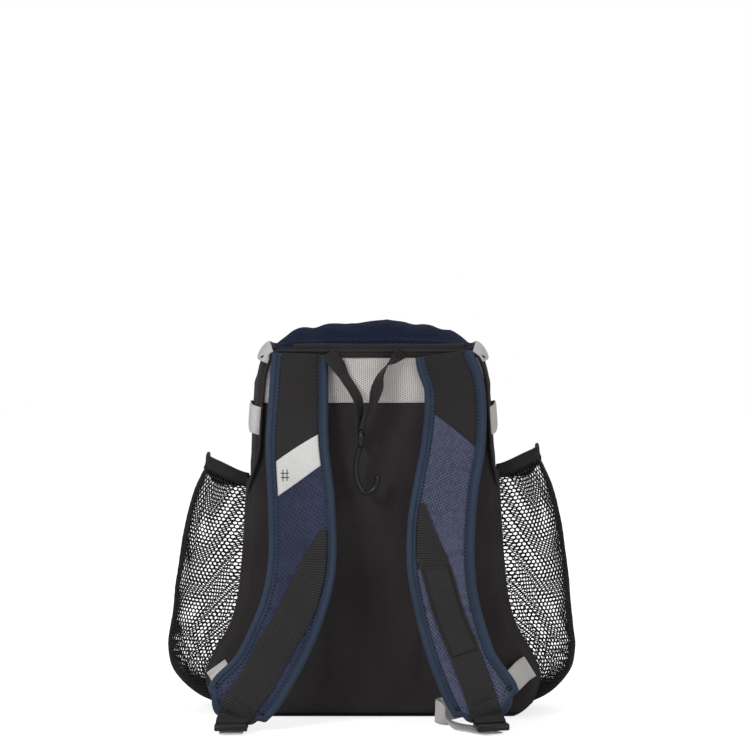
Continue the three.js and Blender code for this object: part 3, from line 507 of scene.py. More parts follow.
class Sewing:
    """Lets sewn sheets settle together under Blender's cloth, once, and keeps the result."""

    FRAMES = 20

    def __init__(self) -> None:
        """Starts with nothing to settle."""
        self.waiting: list[tuple[Piece, Slack, Rows]] = []

    def add(self, piece: Piece, slack: Slack) -> None:
        """Puts a sheet in the queue, to be held along its border.

        Args:
            piece: The sheet, without modifiers that change its point count before the cloth.
            slack: How it is let go.
        """
        shape = bmesh.new()
        shape.from_mesh(piece.data)
        pinned = np.array([vertex.is_boundary for vertex in shape.verts])
        shape.free()
        self.waiting.append((piece, slack, pinned))

    def settle(self) -> None:
        """Runs the cloth on every waiting sheet and writes the softened result into its mesh."""
        if not self.waiting:
            return
        for piece, slack, pinned in self.waiting:
            group = piece.vertex_groups.new(name="sewn")
            group.add([int(i) for i in np.flatnonzero(pinned)], 1.0, "REPLACE")
            for other in piece.modifiers:
                other.show_viewport = False
            cloth = piece.modifiers.new("slack", "CLOTH")
            settings = cloth.settings
            settings.quality = 6
            settings.mass = 0.2
            settings.tension_stiffness = settings.compression_stiffness = 20.0
            settings.shear_stiffness = 8.0
            settings.bending_stiffness = slack.stiffness
            settings.air_damping = 2.0
            settings.vertex_group_mass = group.name
            settings.shrink_min = -slack.extra
            settings.effector_weights.gravity = slack.gravity
            if slack.press:
                settings.use_pressure = True
                settings.uniform_pressure_force = slack.press
            cloth.collision_settings.use_collision = False
            cloth.point_cache.frame_start, cloth.point_cache.frame_end = 1, self.FRAMES
        scene = bpy.context.scene
        for frame in range(1, self.FRAMES + 1):
            scene.frame_set(frame)
        graph = bpy.context.evaluated_depsgraph_get()
        for piece, slack, pinned in self.waiting:
            before = read_points(piece.data)
            solved = piece.evaluated_get(graph).to_mesh()
            moved = read_points(solved) - before
            piece.evaluated_get(graph).to_mesh_clear()
            size = np.maximum(np.linalg.norm(moved, axis=1, keepdims=True), 1e-9)
            most = slack.most * MM
            moved = moved * (most * np.tanh(size / most) / size)
            moved[~np.isfinite(moved).all(axis=1) | pinned] = 0.0
            piece.modifiers.remove(piece.modifiers["slack"])
            piece.vertex_groups.clear()
            write_points(piece.data, before + moved)
            for other in piece.modifiers:
                other.show_viewport = True
            furthest = float(np.linalg.norm(moved, axis=1).max()) / MM
            log.info("settled %s, moved up to %.1f mm", piece.name, furthest)
        scene.frame_set(1)
        self.waiting.clear()


# Shader graphs and finishes

class Graph:
    """Shorthand for making the nodes of one shader tree."""

    def __init__(self, tree: bpy.types.NodeTree) -> None:
        """Keeps the tree that nodes are added to."""
        self.tree = tree

    def add(self, kind: str, **settings: object) -> bpy.types.Node:
        """Adds a node of a kind and sets its own settings."""
        node = self.tree.nodes.new(kind)
        for key, value in settings.items():
            setattr(node, key, value)
        return node

    def feed(self, socket: Socket, value: object) -> None:
        """Links a socket into an input, or sets the input's own value."""
        if isinstance(value, Socket):
            self.tree.links.new(value, socket)
        else:
            socket.default_value = value

    def maths(self, operation: str, *values: object) -> Socket:
        """One Math node on sockets or numbers."""
        node = self.add("ShaderNodeMath", operation=operation)
        for socket, value in zip(node.inputs, values):
            self.feed(socket, value)
        return node.outputs[0]

    def times(self, first: object, second: object) -> Socket:
        """Two sockets or numbers multiplied."""
        return self.maths("MULTIPLY", first, second)

    def plus(self, first: object, second: object) -> Socket:
        """Two sockets or numbers added."""
        return self.maths("ADD", first, second)

    def minus(self, first: object, second: object) -> Socket:
        """One socket or number less another."""
        return self.maths("SUBTRACT", first, second)

    def ridges(self, value: object) -> Socket:
        """Rounded ridges, one for each whole step of a value."""
        return self.maths("ABSOLUTE", self.maths("SINE", self.times(value, math.pi)))

    def centred(self, value: object) -> Socket:
        """Where a value is in its whole step, from -0.5 to 0.5."""
        return self.minus(self.maths("FRACT", value), 0.5)

    def apart(self, vector: object) -> list[Socket]:
        """A vector's three parts."""
        node = self.add("ShaderNodeSeparateXYZ")
        self.feed(node.inputs[0], vector)
        return list(node.outputs)

    def together(self, x: object, y: object, z: object = 0.0) -> Socket:
        """A vector from three parts."""
        node = self.add("ShaderNodeCombineXYZ")
        for socket, value in zip(node.inputs, (x, y, z)):
            self.feed(socket, value)
        return node.outputs[0]

    def noise(self, vector: object, scale: float, detail: float = 2.0, rough: float = 0.5) -> Socket:
        """Noise from 0 to 1.

        Args:
            vector: Where it is read.
            scale: Its scale.
            detail: Layers of finer noise.
            rough: How strong those layers are.

        Returns:
            The noise.
        """
        node = self.add("ShaderNodeTexNoise")
        self.feed(node.inputs["Vector"], vector)
        node.inputs["Scale"].default_value = scale
        node.inputs["Detail"].default_value = detail
        node.inputs["Roughness"].default_value = rough
        return node.outputs["Fac"]

    def between(self, share: object, low: object, high: object) -> Socket:
        """Mixes two colours.

        Args:
            share: Share of the second colour.
            low: The first colour.
            high: The second colour.

        Returns:
            The mixed colour.
        """
        node = self.add("ShaderNodeMix", data_type="RGBA")
        self.feed(node.inputs[0], share)
        self.feed(node.inputs[6], low)
        self.feed(node.inputs[7], high)
        return node.outputs[2]

    def ramp(
        self, value: object, low: float, high: float, to_low: float = 0.0, to_high: float = 1.0
    ) -> Socket:
        """Carries a value smoothly from one range to another.

        Args:
            value: The value.
            low: Start of its range.
            high: End of its range.
            to_low: What it is at the start and below.
            to_high: What it is at the end and above.

        Returns:
            The carried value.
        """
        node = self.add("ShaderNodeMapRange", interpolation_type="SMOOTHSTEP")
        self.feed(node.inputs["Value"], value)
        for key, number in zip(("From Min", "From Max", "To Min", "To Max"), (low, high, to_low, to_high)):
            node.inputs[key].default_value = number
        return node.outputs["Result"]


GroupBody = Callable[[Graph, bpy.types.Node], dict[str, Socket]]


def shader_group(
    name: str, inputs: dict[str, float | None], outputs: Sequence[str], body: GroupBody
) -> bpy.types.NodeTree:
    """Builds one shader node group, or finds it if it is there.

    Args:
        name: The group's name.
        inputs: Input names with their number, or None for a vector.
        outputs: Names of its number outputs.
        body: Makes the nodes and returns the socket for each output.

    Returns:
        The group's tree.
    """
    if name in bpy.data.node_groups:
        return bpy.data.node_groups[name]
    tree = bpy.data.node_groups.new(name, "ShaderNodeTree")
    for key, number in inputs.items():
        kind = "NodeSocketVector" if number is None else "NodeSocketFloat"
        socket = tree.interface.new_socket(name=key, in_out="INPUT", socket_type=kind)
        if number is not None:
            socket.default_value = number
    for key in outputs:
        tree.interface.new_socket(name=key, in_out="OUTPUT", socket_type="NodeSocketFloat")
    graph = Graph(tree)
    source, sink = graph.add("NodeGroupInput"), graph.add("NodeGroupOutput")
    for key, socket in body(graph, source).items():
        tree.links.new(socket, sink.inputs[key])
    return tree


class Weave(Enum):
    """How a cloth is made, each drawn by a shader group of its own."""

    PLAIN = "plain weave"
    RIB = "ribbed webbing"
    RIPSTOP = "ripstop grid"
    DOBBY = "zigzag dobby"
    SPACER = "spacer mesh"
    SMOOTH = "smooth film"


def threads(graph: Graph, x: object, y: object) -> Socket:
    """Height of a plain over-and-under weave with one thread for each whole step."""
    over, under = graph.ridges(x), graph.ridges(y)
    step = graph.plus(graph.maths("FLOOR", x), graph.maths("FLOOR", y))
    turn = graph.maths("ABSOLUTE", graph.maths("MODULO", step, 2.0))
    kept = graph.times(over, graph.minus(1.0, turn))
    return graph.plus(kept, graph.times(under, turn))


def steps_of(graph: Graph, source: bpy.types.Node) -> tuple[Socket, Socket]:
    """The two surface lengths of a group's vector, counted in pitches."""
    x, y, _ = graph.apart(source.outputs["Vector"])
    pitch = source.outputs["Pitch"]
    return graph.maths("DIVIDE", x, pitch), graph.maths("DIVIDE", y, pitch)


def plain_body(graph: Graph, source: bpy.types.Node) -> dict[str, Socket]:
    """Plain weave."""
    x, y = steps_of(graph, source)
    height = threads(graph, x, y)
    return {"Height": height, "Mask": graph.ramp(height, 0.1, 0.8)}


def rib_body(graph: Graph, source: bpy.types.Node) -> dict[str, Socket]:
    """Cross ribs, each bound by fine lengthwise threads."""
    x, y = steps_of(graph, source)
    rib = graph.ridges(x)
    shift = graph.times(graph.maths("FLOOR", x), 0.5)
    fine = graph.plus(graph.times(y, 3.0), shift)
    thread = graph.ridges(fine)
    height = graph.times(graph.maths("POWER", rib, 0.6), graph.ramp(thread, 0.0, 1.0, 0.7, 1.0))
    return {"Height": height, "Mask": graph.ramp(rib, 0.25, 0.8)}


def ripstop_body(graph: Graph, source: bpy.types.Node) -> dict[str, Socket]:
    """A fine weave crossed by a grid of thicker threads, set at a slant."""
    x, y = steps_of(graph, source)
    slant = source.outputs["Slant"]
    cosine, sine = graph.maths("COSINE", slant), graph.maths("SINE", slant)
    along = graph.plus(graph.times(x, cosine), graph.times(y, sine))
    aside = graph.minus(graph.times(y, cosine), graph.times(x, sine))
    lines = []
    for way in (along, aside):
        off = graph.maths("ABSOLUTE", graph.centred(way))
        lines.append(graph.ramp(off, 0.38, 0.45))
    patchy = graph.ramp(graph.noise(graph.together(x, y), 0.55, 2.0), 0.35, 0.62, 0.35, 1.0)
    line = graph.times(graph.maths("MAXIMUM", *lines), patchy)
    fine = threads(graph, graph.times(along, 8.0), graph.times(aside, 8.0))
    raised = graph.times(line, 0.7)
    return {"Height": graph.plus(raised, graph.times(fine, 0.3)), "Mask": line}


def dobby_body(graph: Graph, source: bpy.types.Node) -> dict[str, Socket]:
    """Rows of raised zigzag with a fine weave over them."""
    x, y = steps_of(graph, source)
    zig = graph.maths("ABSOLUTE", graph.centred(graph.times(x, 0.5)))
    way = graph.plus(y, graph.times(zig, 1.7))
    ridge = graph.ridges(way)
    fine = threads(graph, graph.times(x, 5.0), graph.times(y, 5.0))
    height = graph.plus(graph.times(ridge, 0.75), graph.times(fine, 0.25))
    return {"Height": height, "Mask": graph.ramp(ridge, 0.3, 0.9)}


def spacer_body(graph: Graph, source: bpy.types.Node) -> dict[str, Socket]:
    """Upright knitted ribs with a small hole in every step of them."""
    x, y = steps_of(graph, source)
    shift = graph.times(graph.maths("FLOOR", x), 0.5)
    a, b = graph.centred(x), graph.centred(graph.plus(graph.times(y, 0.9), shift))
    square = graph.plus(graph.times(a, a), graph.times(b, b))
    yarn = graph.ramp(graph.maths("SQRT", square), 0.16, 0.3)
    rib = graph.ramp(graph.maths("ABSOLUTE", a), 0.2, 0.5, 1.0, 0.55)
    return {"Height": graph.times(yarn, rib), "Mask": yarn}


def smooth_body(graph: Graph, source: bpy.types.Node) -> dict[str, Socket]:
    """A coated film with the cloth under it just showing."""
    x, y = steps_of(graph, source)
    dimple = graph.noise(graph.together(x, y), 0.6, 1.0)
    return {"Height": dimple, "Mask": graph.ramp(dimple, 0.35, 0.65)}


WEAVE_BODIES: dict[Weave, GroupBody] = {
    Weave.PLAIN: plain_body,
    Weave.RIB: rib_body,
    Weave.RIPSTOP: ripstop_body,
    Weave.DOBBY: dobby_body,
    Weave.SPACER: spacer_body,
    Weave.SMOOTH: smooth_body,
}


def weave_group(weave: Weave) -> bpy.types.NodeTree:
    """The shader group that draws a weave."""
    inputs = {"Vector": None, "Pitch": 0.001, "Slant": 0.0}
    return shader_group(weave.value, inputs, ("Height", "Mask"), WEAVE_BODIES[weave])


def handling_body(graph: Graph, source: bpy.types.Node) -> dict[str, Socket]:
    """Slow shade changes, lint and a soft unevenness that any handled cloth has."""
    vector = source.outputs["Vector"]
    cloud = graph.noise(vector, 14.0, 3.0)
    lint = graph.ramp(graph.noise(vector, 900.0, 1.0), 0.66, 0.76)
    shade = graph.ramp(cloud, 0.3, 0.7)
    return {"Shade": shade, "Lint": graph.times(lint, source.outputs["Lint"]), "Swell": cloud}


def handling_group() -> bpy.types.NodeTree:
    """The shader group for shade, lint and unevenness."""
    inputs = {"Vector": None, "Lint": 0.3}
    return shader_group("handled cloth", inputs, ("Shade", "Lint", "Swell"), handling_body)


def linear(colour: int) -> tuple[float, float, float, float]:
    """A hexadecimal screen colour as linear light."""
    parts = [((colour >> shift) & 255) / 255 for shift in (16, 8, 0)]
    return tuple([p / 12.92 if p <= 0.04045 else ((p + 0.055) / 1.055) ** 2.4 for p in parts] + [1.0])


@dataclass(frozen=True)
class Cloth:
    """One cloth finish.

    Attributes:
        name: The material's name.
        low: Screen colour of its hollows.
        high: Screen colour of its raised threads.
        weave: How it is made.
        pitch: Thread or pattern pitch, in millimetres.
        relief: Height of its pattern, in millimetres.
        slot: The record's material slot; not used.
        rough: Roughness of its raised threads.
        sheen: Weight of its sheen.
        slant: Slant of its pattern, in degrees.
        lint: Share of lint.
        gloss: Strength of its surface reflection.
    """

    name: str
    low: int
    high: int
    weave: Weave
    pitch: float
    relief: float
    slot: str
    rough: float = 0.8
    sheen: float = 0.04
    slant: float = 0.0
    lint: float = 0.25
    gloss: float = 0.35

    def material(self) -> bpy.types.Material:
        """The finish as a material, made once."""
        if self.name in bpy.data.materials:
            return bpy.data.materials[self.name]
        material = bpy.data.materials.new(self.name)
        material.use_nodes = True
        graph = Graph(material.node_tree)
        shader = material.node_tree.nodes["Principled BSDF"]
        place = graph.add("ShaderNodeUVMap", uv_map=CLOTH_UV).outputs["UV"]
        where = graph.add("ShaderNodeTexCoord").outputs["Object"]
        weave = graph.add("ShaderNodeGroup", node_tree=weave_group(self.weave))
        graph.feed(weave.inputs["Vector"], place)
        weave.inputs["Pitch"].default_value = self.pitch * MM
        weave.inputs["Slant"].default_value = math.radians(self.slant)
        handled = graph.add("ShaderNodeGroup", node_tree=handling_group())
        graph.feed(handled.inputs["Vector"], where)
        handled.inputs["Lint"].default_value = self.lint
        low, high = linear(self.low), linear(self.high)
        woven = graph.between(weave.outputs["Mask"], low, high)
        worn = tuple([part * 0.6 for part in high[:3]] + [1.0])
        shaded = graph.between(graph.times(handled.outputs["Shade"], 0.45), woven, worn)
        fluff = tuple([min(1.0, part * 1.6 + 0.02) for part in high[:3]] + [1.0])
        colour = graph.between(handled.outputs["Lint"], shaded, fluff)
        graph.feed(shader.inputs["Base Color"], colour)
        rough = graph.ramp(handled.outputs["Swell"], 0.2, 0.8, self.rough - 0.06, min(1.0, self.rough + 0.08))
        graph.feed(shader.inputs["Roughness"], rough)
        shader.inputs["Sheen Weight"].default_value = self.sheen
        shader.inputs["Sheen Roughness"].default_value = 0.5
        shader.inputs["Specular IOR Level"].default_value = self.gloss
        bump_node = graph.add("ShaderNodeBump")
        bump_node.inputs["Strength"].default_value = 0.9
        bump_node.inputs["Distance"].default_value = self.relief * MM
        graph.feed(bump_node.inputs["Height"], weave.outputs["Height"])
        soft = graph.add("ShaderNodeBump")
        soft.inputs["Strength"].default_value = 0.5
        soft.inputs["Distance"].default_value = 0.8 * MM
        graph.feed(soft.inputs["Height"], graph.noise(where, 120.0, 2.0))
        graph.feed(soft.inputs["Normal"], bump_node.outputs["Normal"])
        graph.feed(shader.inputs["Normal"], soft.outputs["Normal"])
        return material


@dataclass(frozen=True)
class Moulded:
    """One moulded plastic finish.

    Attributes:
        name: The material's name.
        colour: Screen colour.
        slot: The record's material slot; not used.
        rough: Roughness where it is clean.
    """

    name: str
    colour: int
    slot: str
    rough: float = 0.28

    def material(self) -> bpy.types.Material:
        """The finish as a material, made once."""
        if self.name in bpy.data.materials:
            return bpy.data.materials[self.name]
        material = bpy.data.materials.new(self.name)
        material.use_nodes = True
        graph = Graph(material.node_tree)
        shader = material.node_tree.nodes["Principled BSDF"]
        where = graph.add("ShaderNodeTexCoord").outputs["Object"]
        handled = graph.add("ShaderNodeGroup", node_tree=handling_group())
        graph.feed(handled.inputs["Vector"], where)
        base = linear(self.colour)
        scuffed = tuple([part * 1.5 + 0.012 for part in base[:3]] + [1.0])
        scuffs = graph.ramp(graph.noise(where, 260.0, 4.0, 0.7), 0.56, 0.72)
        colour = graph.between(graph.times(scuffs, 0.5), base, scuffed)
        graph.feed(shader.inputs["Base Color"], colour)
        rough = graph.ramp(handled.outputs["Swell"], 0.25, 0.75, self.rough, self.rough + 0.14)
        graph.feed(shader.inputs["Roughness"], graph.plus(rough, graph.times(scuffs, 0.15)))
        relief = graph.add("ShaderNodeBump")
        relief.inputs["Strength"].default_value = 0.25
        relief.inputs["Distance"].default_value = 0.2 * MM
        graph.feed(relief.inputs["Height"], graph.noise(where, 700.0, 2.0))
        graph.feed(shader.inputs["Normal"], relief.outputs["Normal"])
        return material


Finish = Cloth | Moulded

BLACK_CLOTH = Cloth("black pack cloth", 0x1A1819, 0x403B3D, Weave.PLAIN, 0.75, 0.12, "black_fabric")
TWILL = Cloth("black strap cloth", 0x1A1819, 0x373435, Weave.PLAIN, 0.9, 0.14, "black_fabric", 0.85)
NAVY_CLOTH = Cloth(
    "navy dobby cloth", 0x03060F, 0x1D2B4C, Weave.DOBBY, 3.2, 0.6, "navy_fabric", 0.9, gloss=0.1
)
SPACER_KNIT = Cloth(
    "light spacer mesh", 0x3C3735, 0xFBF5F3, Weave.SPACER, 2.3, 0.6, "spacer_mesh", 0.85, lint=0.1
)
PAD_BACKING = Cloth("black spacer mesh", 0x0A0A0A, 0x242122, Weave.SPACER, 2.2, 0.5, "black_fabric", 0.85)
# Painted light: one strap ripstop in two copies. The pale copy paints light caught on the right strap's face;
# the dark copy is the same cloth painted as it looks in shade.
SHADED_RIPSTOP = Cloth(
    "dark lined ripstop", 0x394163, 0x10142A, Weave.RIPSTOP, 4.3, 0.16, "strap_ripstop", 0.6, slant=34.0
)
LIT_RIPSTOP = Cloth(
    "pale lined ripstop", 0x2E344F, 0x767A97, Weave.RIPSTOP, 3.3, 0.16, "strap_ripstop", 0.6, slant=-32.0
)
BINDING = Cloth("navy binding", 0x222E42, 0x3A4961, Weave.PLAIN, 1.0, 0.12, "navy_binding", 0.72)
WEBBING = Cloth("black webbing", 0x0F0E0E, 0x322F2F, Weave.RIB, 2.6, 0.35, "black_webbing", 0.6)
GREY_WEBBING = Cloth(
    "grey webbing", 0xBDB9B7, 0xFBF8F5, Weave.RIB, 1.8, 0.35, "grey_webbing", 0.75, lint=0.1
)
ELASTIC = Cloth("black elastic", 0x111011, 0x2C2A2B, Weave.PLAIN, 1.1, 0.2, "black_webbing", 0.8)
NET_YARN = Cloth("black net yarn", 0x0D0D0D, 0x211F20, Weave.PLAIN, 0.6, 0.1, "black_net", 0.55)
PATCH_FILM = Cloth(
    "white coated patch", 0xEDEEEC, 0xF6F6F4, Weave.SMOOTH, 2.2, 0.06, "white_patch", 0.5, 0.0, lint=0.0
)
PATCH_INK = Cloth(
    "navy printing ink", 0x1B2340, 0x222B4A, Weave.SMOOTH, 2.0, 0.05, "white_patch", 0.6, 0.0, lint=0.0
)
LABEL_SATIN = Cloth("black satin label", 0x100F0F, 0x2A2728, Weave.PLAIN, 0.5, 0.08, "woven_label", 0.4)
DARK_THREAD = Cloth("dark sewing thread", 0x070912, 0x10141F, Weave.PLAIN, 0.4, 0.05, "black_webbing", 0.6)
GLOSS_PLASTIC = Moulded("black moulded plastic", 0x18191D, "black_plastic", 0.22)
COIL_PLASTIC = Moulded("black zip coil", 0x131315, "zip_coil", 0.4)


def dress(piece: Piece, finish: Finish, *nodes: str, body: str = BAG) -> Piece:
    """Gives a piece its finish, the body it rides on and the nodes it stands for.

    Args:
        piece: The finished piece.
        finish: Its main finish.
        nodes: The frame's nodes that it replaces.
        body: The body that it rides on.

    Returns:
        The same piece.
    """
    if not piece.data.materials:
        piece.data.materials.append(finish.material())
    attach(piece, body)
    if nodes:
        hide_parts(*nodes)
    faces, replaced = len(piece.data.polygons), ", ".join(nodes) or "nothing"
    log.info("%s: %d faces, rides on %s, replaces %s", piece.name, faces, body, replaced)
    return piece


def stitching(
    name: str,
    runs: Sequence[Rows],
    outs: Sequence[Rows],
    finish: Finish,
    pitch: float = 3.6,
    thick: float = 0.5,
) -> Piece:
    """Rows of separate stitches along lines on a surface.

    Args:
        name: The piece's name.
        runs: Lines of points, in millimetres.
        outs: The surface's outward directions at those points.
        finish: The thread.
        pitch: From one stitch to the next, in millimetres.
        thick: The thread's thickness, in millimetres.

    Returns:
        The new object, dressed.
    """
    shape = bmesh.new()
    for line, out in zip(runs, outs):
        steps = walked(line)
        for start in np.arange(0.15 * pitch, steps[-1] - 0.75 * pitch, pitch):
            low, high = (read_row(at, steps, line) for at in (start, start + 0.68 * pitch))
            size = (thick * 0.5, float(np.linalg.norm(high - low)) * 0.5, thick * 0.4)
            bead(shape, (low + high) / 2, high - low, read_row(start, steps, out), size)
    mesh = meshed(name, shape)
    put_uv(mesh, read_points(mesh)[:, :2])
    smooth(mesh)
    return dress(keep(name, mesh), finish)


# The bag's body

class BodyForm:
    """The bag's outer form: an outline seen from the straps, carried from the back panel to the front."""

    OUTLINE = (
        (0, 0), (0.4, 0), (0.76, 0), (0.88, 0.012), (0.965, 0.05), (1, 0.11), (0.945, 0.175), (0.86, 0.24),
        (0.81, 0.31), (0.78, 0.42), (0.75, 0.63), (0.72, 0.85), (0.7, 0.93), (0.655, 0.98), (0.57, 1),
        (0.3, 1), (0, 1),
    )
    TOP_HALF = 0.57
    TOP_START = 0.93
    FOLDS = ((-0.62, 1, 0.1), (-0.28, 0.55, 0.16), (0.12, -0.45, 0.2), (0.45, 0.65, 0.12), (0.72, 0.9, 0.1))
    height = 410.0
    half_width = 182.0
    base_depth = 170.0
    top_depth = 128.0
    top_crown = 31.0
    front_bulge = 16.0
    side_bulge = 6.4
    front_narrowing = 18.0
    front_drop = 20.0
    fold_depth = 4.5
    wall = 2.0
    pad = 8.0
    back_crown = 5.0
    gap = 0.3

    def __init__(self) -> None:
        """Fits the outline and the lines that are read from it."""
        self.back = -self.base_depth / 2
        self.curve = Spline([(aside, up, 0) for aside, up in self.OUTLINE])
        shares = np.linspace(0, 1, 401)
        points = self.curve.point(shares)
        self.bottom_end = float(shares[np.argmax(points[:, 0] > 0.8)])
        self.side_end = float(shares[np.argmax(points[:, 1] > 0.995)])
        seam = self.surface(np.linspace(self.bottom_end, self.side_end, 161), np.zeros(161))
        self.seam_z, self.seam_x = np.concatenate([[0.0], seam[1:, 2]]), seam[:, 0]
        self.walls = []
        for through in np.linspace(0, 1, 17):
            rows = self.surface(np.linspace(self.bottom_end, self.side_end, 161), np.full(161, through))
            self.walls.append((rows[:, 2], rows[:, 0]))

    def outline(self, way: Rows) -> tuple[Rows, Rows]:
        """Reads the outline.

        Args:
            way: The way round: 0 is the base's middle, 1 the top's, and the left side is past 1.

        Returns:
            The shares of the half-width and of the height.
        """
        left = (way > 1) | (way < 0)
        share = np.where(way > 1, 2 - way, np.abs(way))
        point = self.curve.point(share)
        return np.where(left, -point[:, 0], point[:, 0]), np.clip(point[:, 1], 0, 1)

    def way_at(self, up: float) -> float:
        """The way round on the right side at which a height share is reached."""
        shares = np.linspace(0, 1, 401)
        return float(shares[np.argmax(self.curve.point(shares)[:, 1] > up)])

    def depth(self, up: Rows) -> Rows:
        """Back panel to front panel at a height share."""
        return self.base_depth + (self.top_depth - self.base_depth) * up**1.5

    def surface(self, way: Rows, through: Rows) -> Rows:
        """Points of the outer surface.

        Args:
            way: The way round the outline.
            through: Share from back to front.

        Returns:
            Rows of points, in millimetres.
        """
        way, through = np.broadcast_arrays(np.asarray(way, float), np.asarray(through, float))
        aside, up = self.outline(way)
        across = aside / self.TOP_HALF
        arch = np.sin(math.pi * through)
        doming = arch * np.clip((up - self.TOP_START) / (1 - self.TOP_START), 0, 1)
        rise = self.top_crown * doming * np.where(np.abs(across) < 1, 1 - 0.78 * np.abs(across) ** 5, 0.22)
        for place, dent, spread in self.FOLDS:
            rise = rise - self.fold_depth * dent * doming * bump((across - place) / spread)
        half = self.half_width - self.front_narrowing * through**2 + self.side_bulge * arch
        tall = self.height - self.front_drop * through**2
        deep = self.depth(up) - self.pad - self.wall - 2 * self.gap
        return xyz(aside * half, self.back + self.pad + self.gap + through * deep, up * tall + rise)

    def normal(self, way: Rows, through: Rows) -> Rows:
        """Outward directions of that surface."""
        step = 1e-3
        along = self.surface(way + step, through) - self.surface(way - step, through)
        across = self.surface(way, through + step) - self.surface(way, through - step)
        return unit(np.cross(across, along))

    def raised(self, way: Rows, through: Rows, height: Rows | float) -> Rows:
        """Points over that surface by a height."""
        return self.surface(way, through) + self.normal(way, through) * np.reshape(height, (-1, 1))

    def way_for(self, length: float, way: float) -> float:
        """A length along the outline at some way round it, as a share of the way."""
        step = 1e-3
        ends = self.surface(np.array([way - step, way + step]), np.zeros(2))
        return length * 2 * step / float(np.linalg.norm(ends[1] - ends[0]))

    def seam_half(self, z: Rows) -> Rows:
        """Half-width of the back seam at a height."""
        return np.interp(z, self.seam_z, self.seam_x)

    def wall_at(self, z: Rows, y: Rows) -> Rows:
        """Half-width of the side wall.

        Args:
            z: Heights, in millimetres.
            y: Depths, in millimetres.

        Returns:
            The half-width at each of them.
        """
        deep = self.depth(np.clip(z / self.height, 0, 1)) - self.pad - self.wall - 2 * self.gap
        through = np.clip((y - self.back - self.pad - self.gap) / deep, 0, 1) * (len(self.walls) - 1)
        level = np.minimum(through.astype(int), len(self.walls) - 2)
        readings = np.stack([np.interp(z, rows_z, rows_x) for rows_z, rows_x in self.walls])
        every = np.arange(len(z))
        share = through - level
        return readings[level, every] * (1 - share) + readings[level + 1, every] * share

    def swell(self, crown: float, side: Rows, up: Rows) -> Rows:
        """How far a band of the back swells."""
        return crown * (1 - side**4) * np.sin(math.pi * np.clip(up, 0.02, 0.98)) ** 0.5


FORM = BodyForm()
YOKE_BOTTOM = 396.0
MESH_TOP = YOKE_BOTTOM - 0.3
BAND_HEIGHT = 47.0
MESH_BOTTOM = MESH_TOP - BAND_HEIGHT
PANEL_TOP = MESH_BOTTOM - 0.3
PANEL_SKEW = 1.35
ShellPiece = tuple[Piece, Finish, tuple[str, ...], float | None]


def panel_share(z: Rows | float) -> Rows | float:
    """The share up the back panel that its swell is read by, at a height."""
    return (z / PANEL_TOP) ** (1 / PANEL_SKEW)


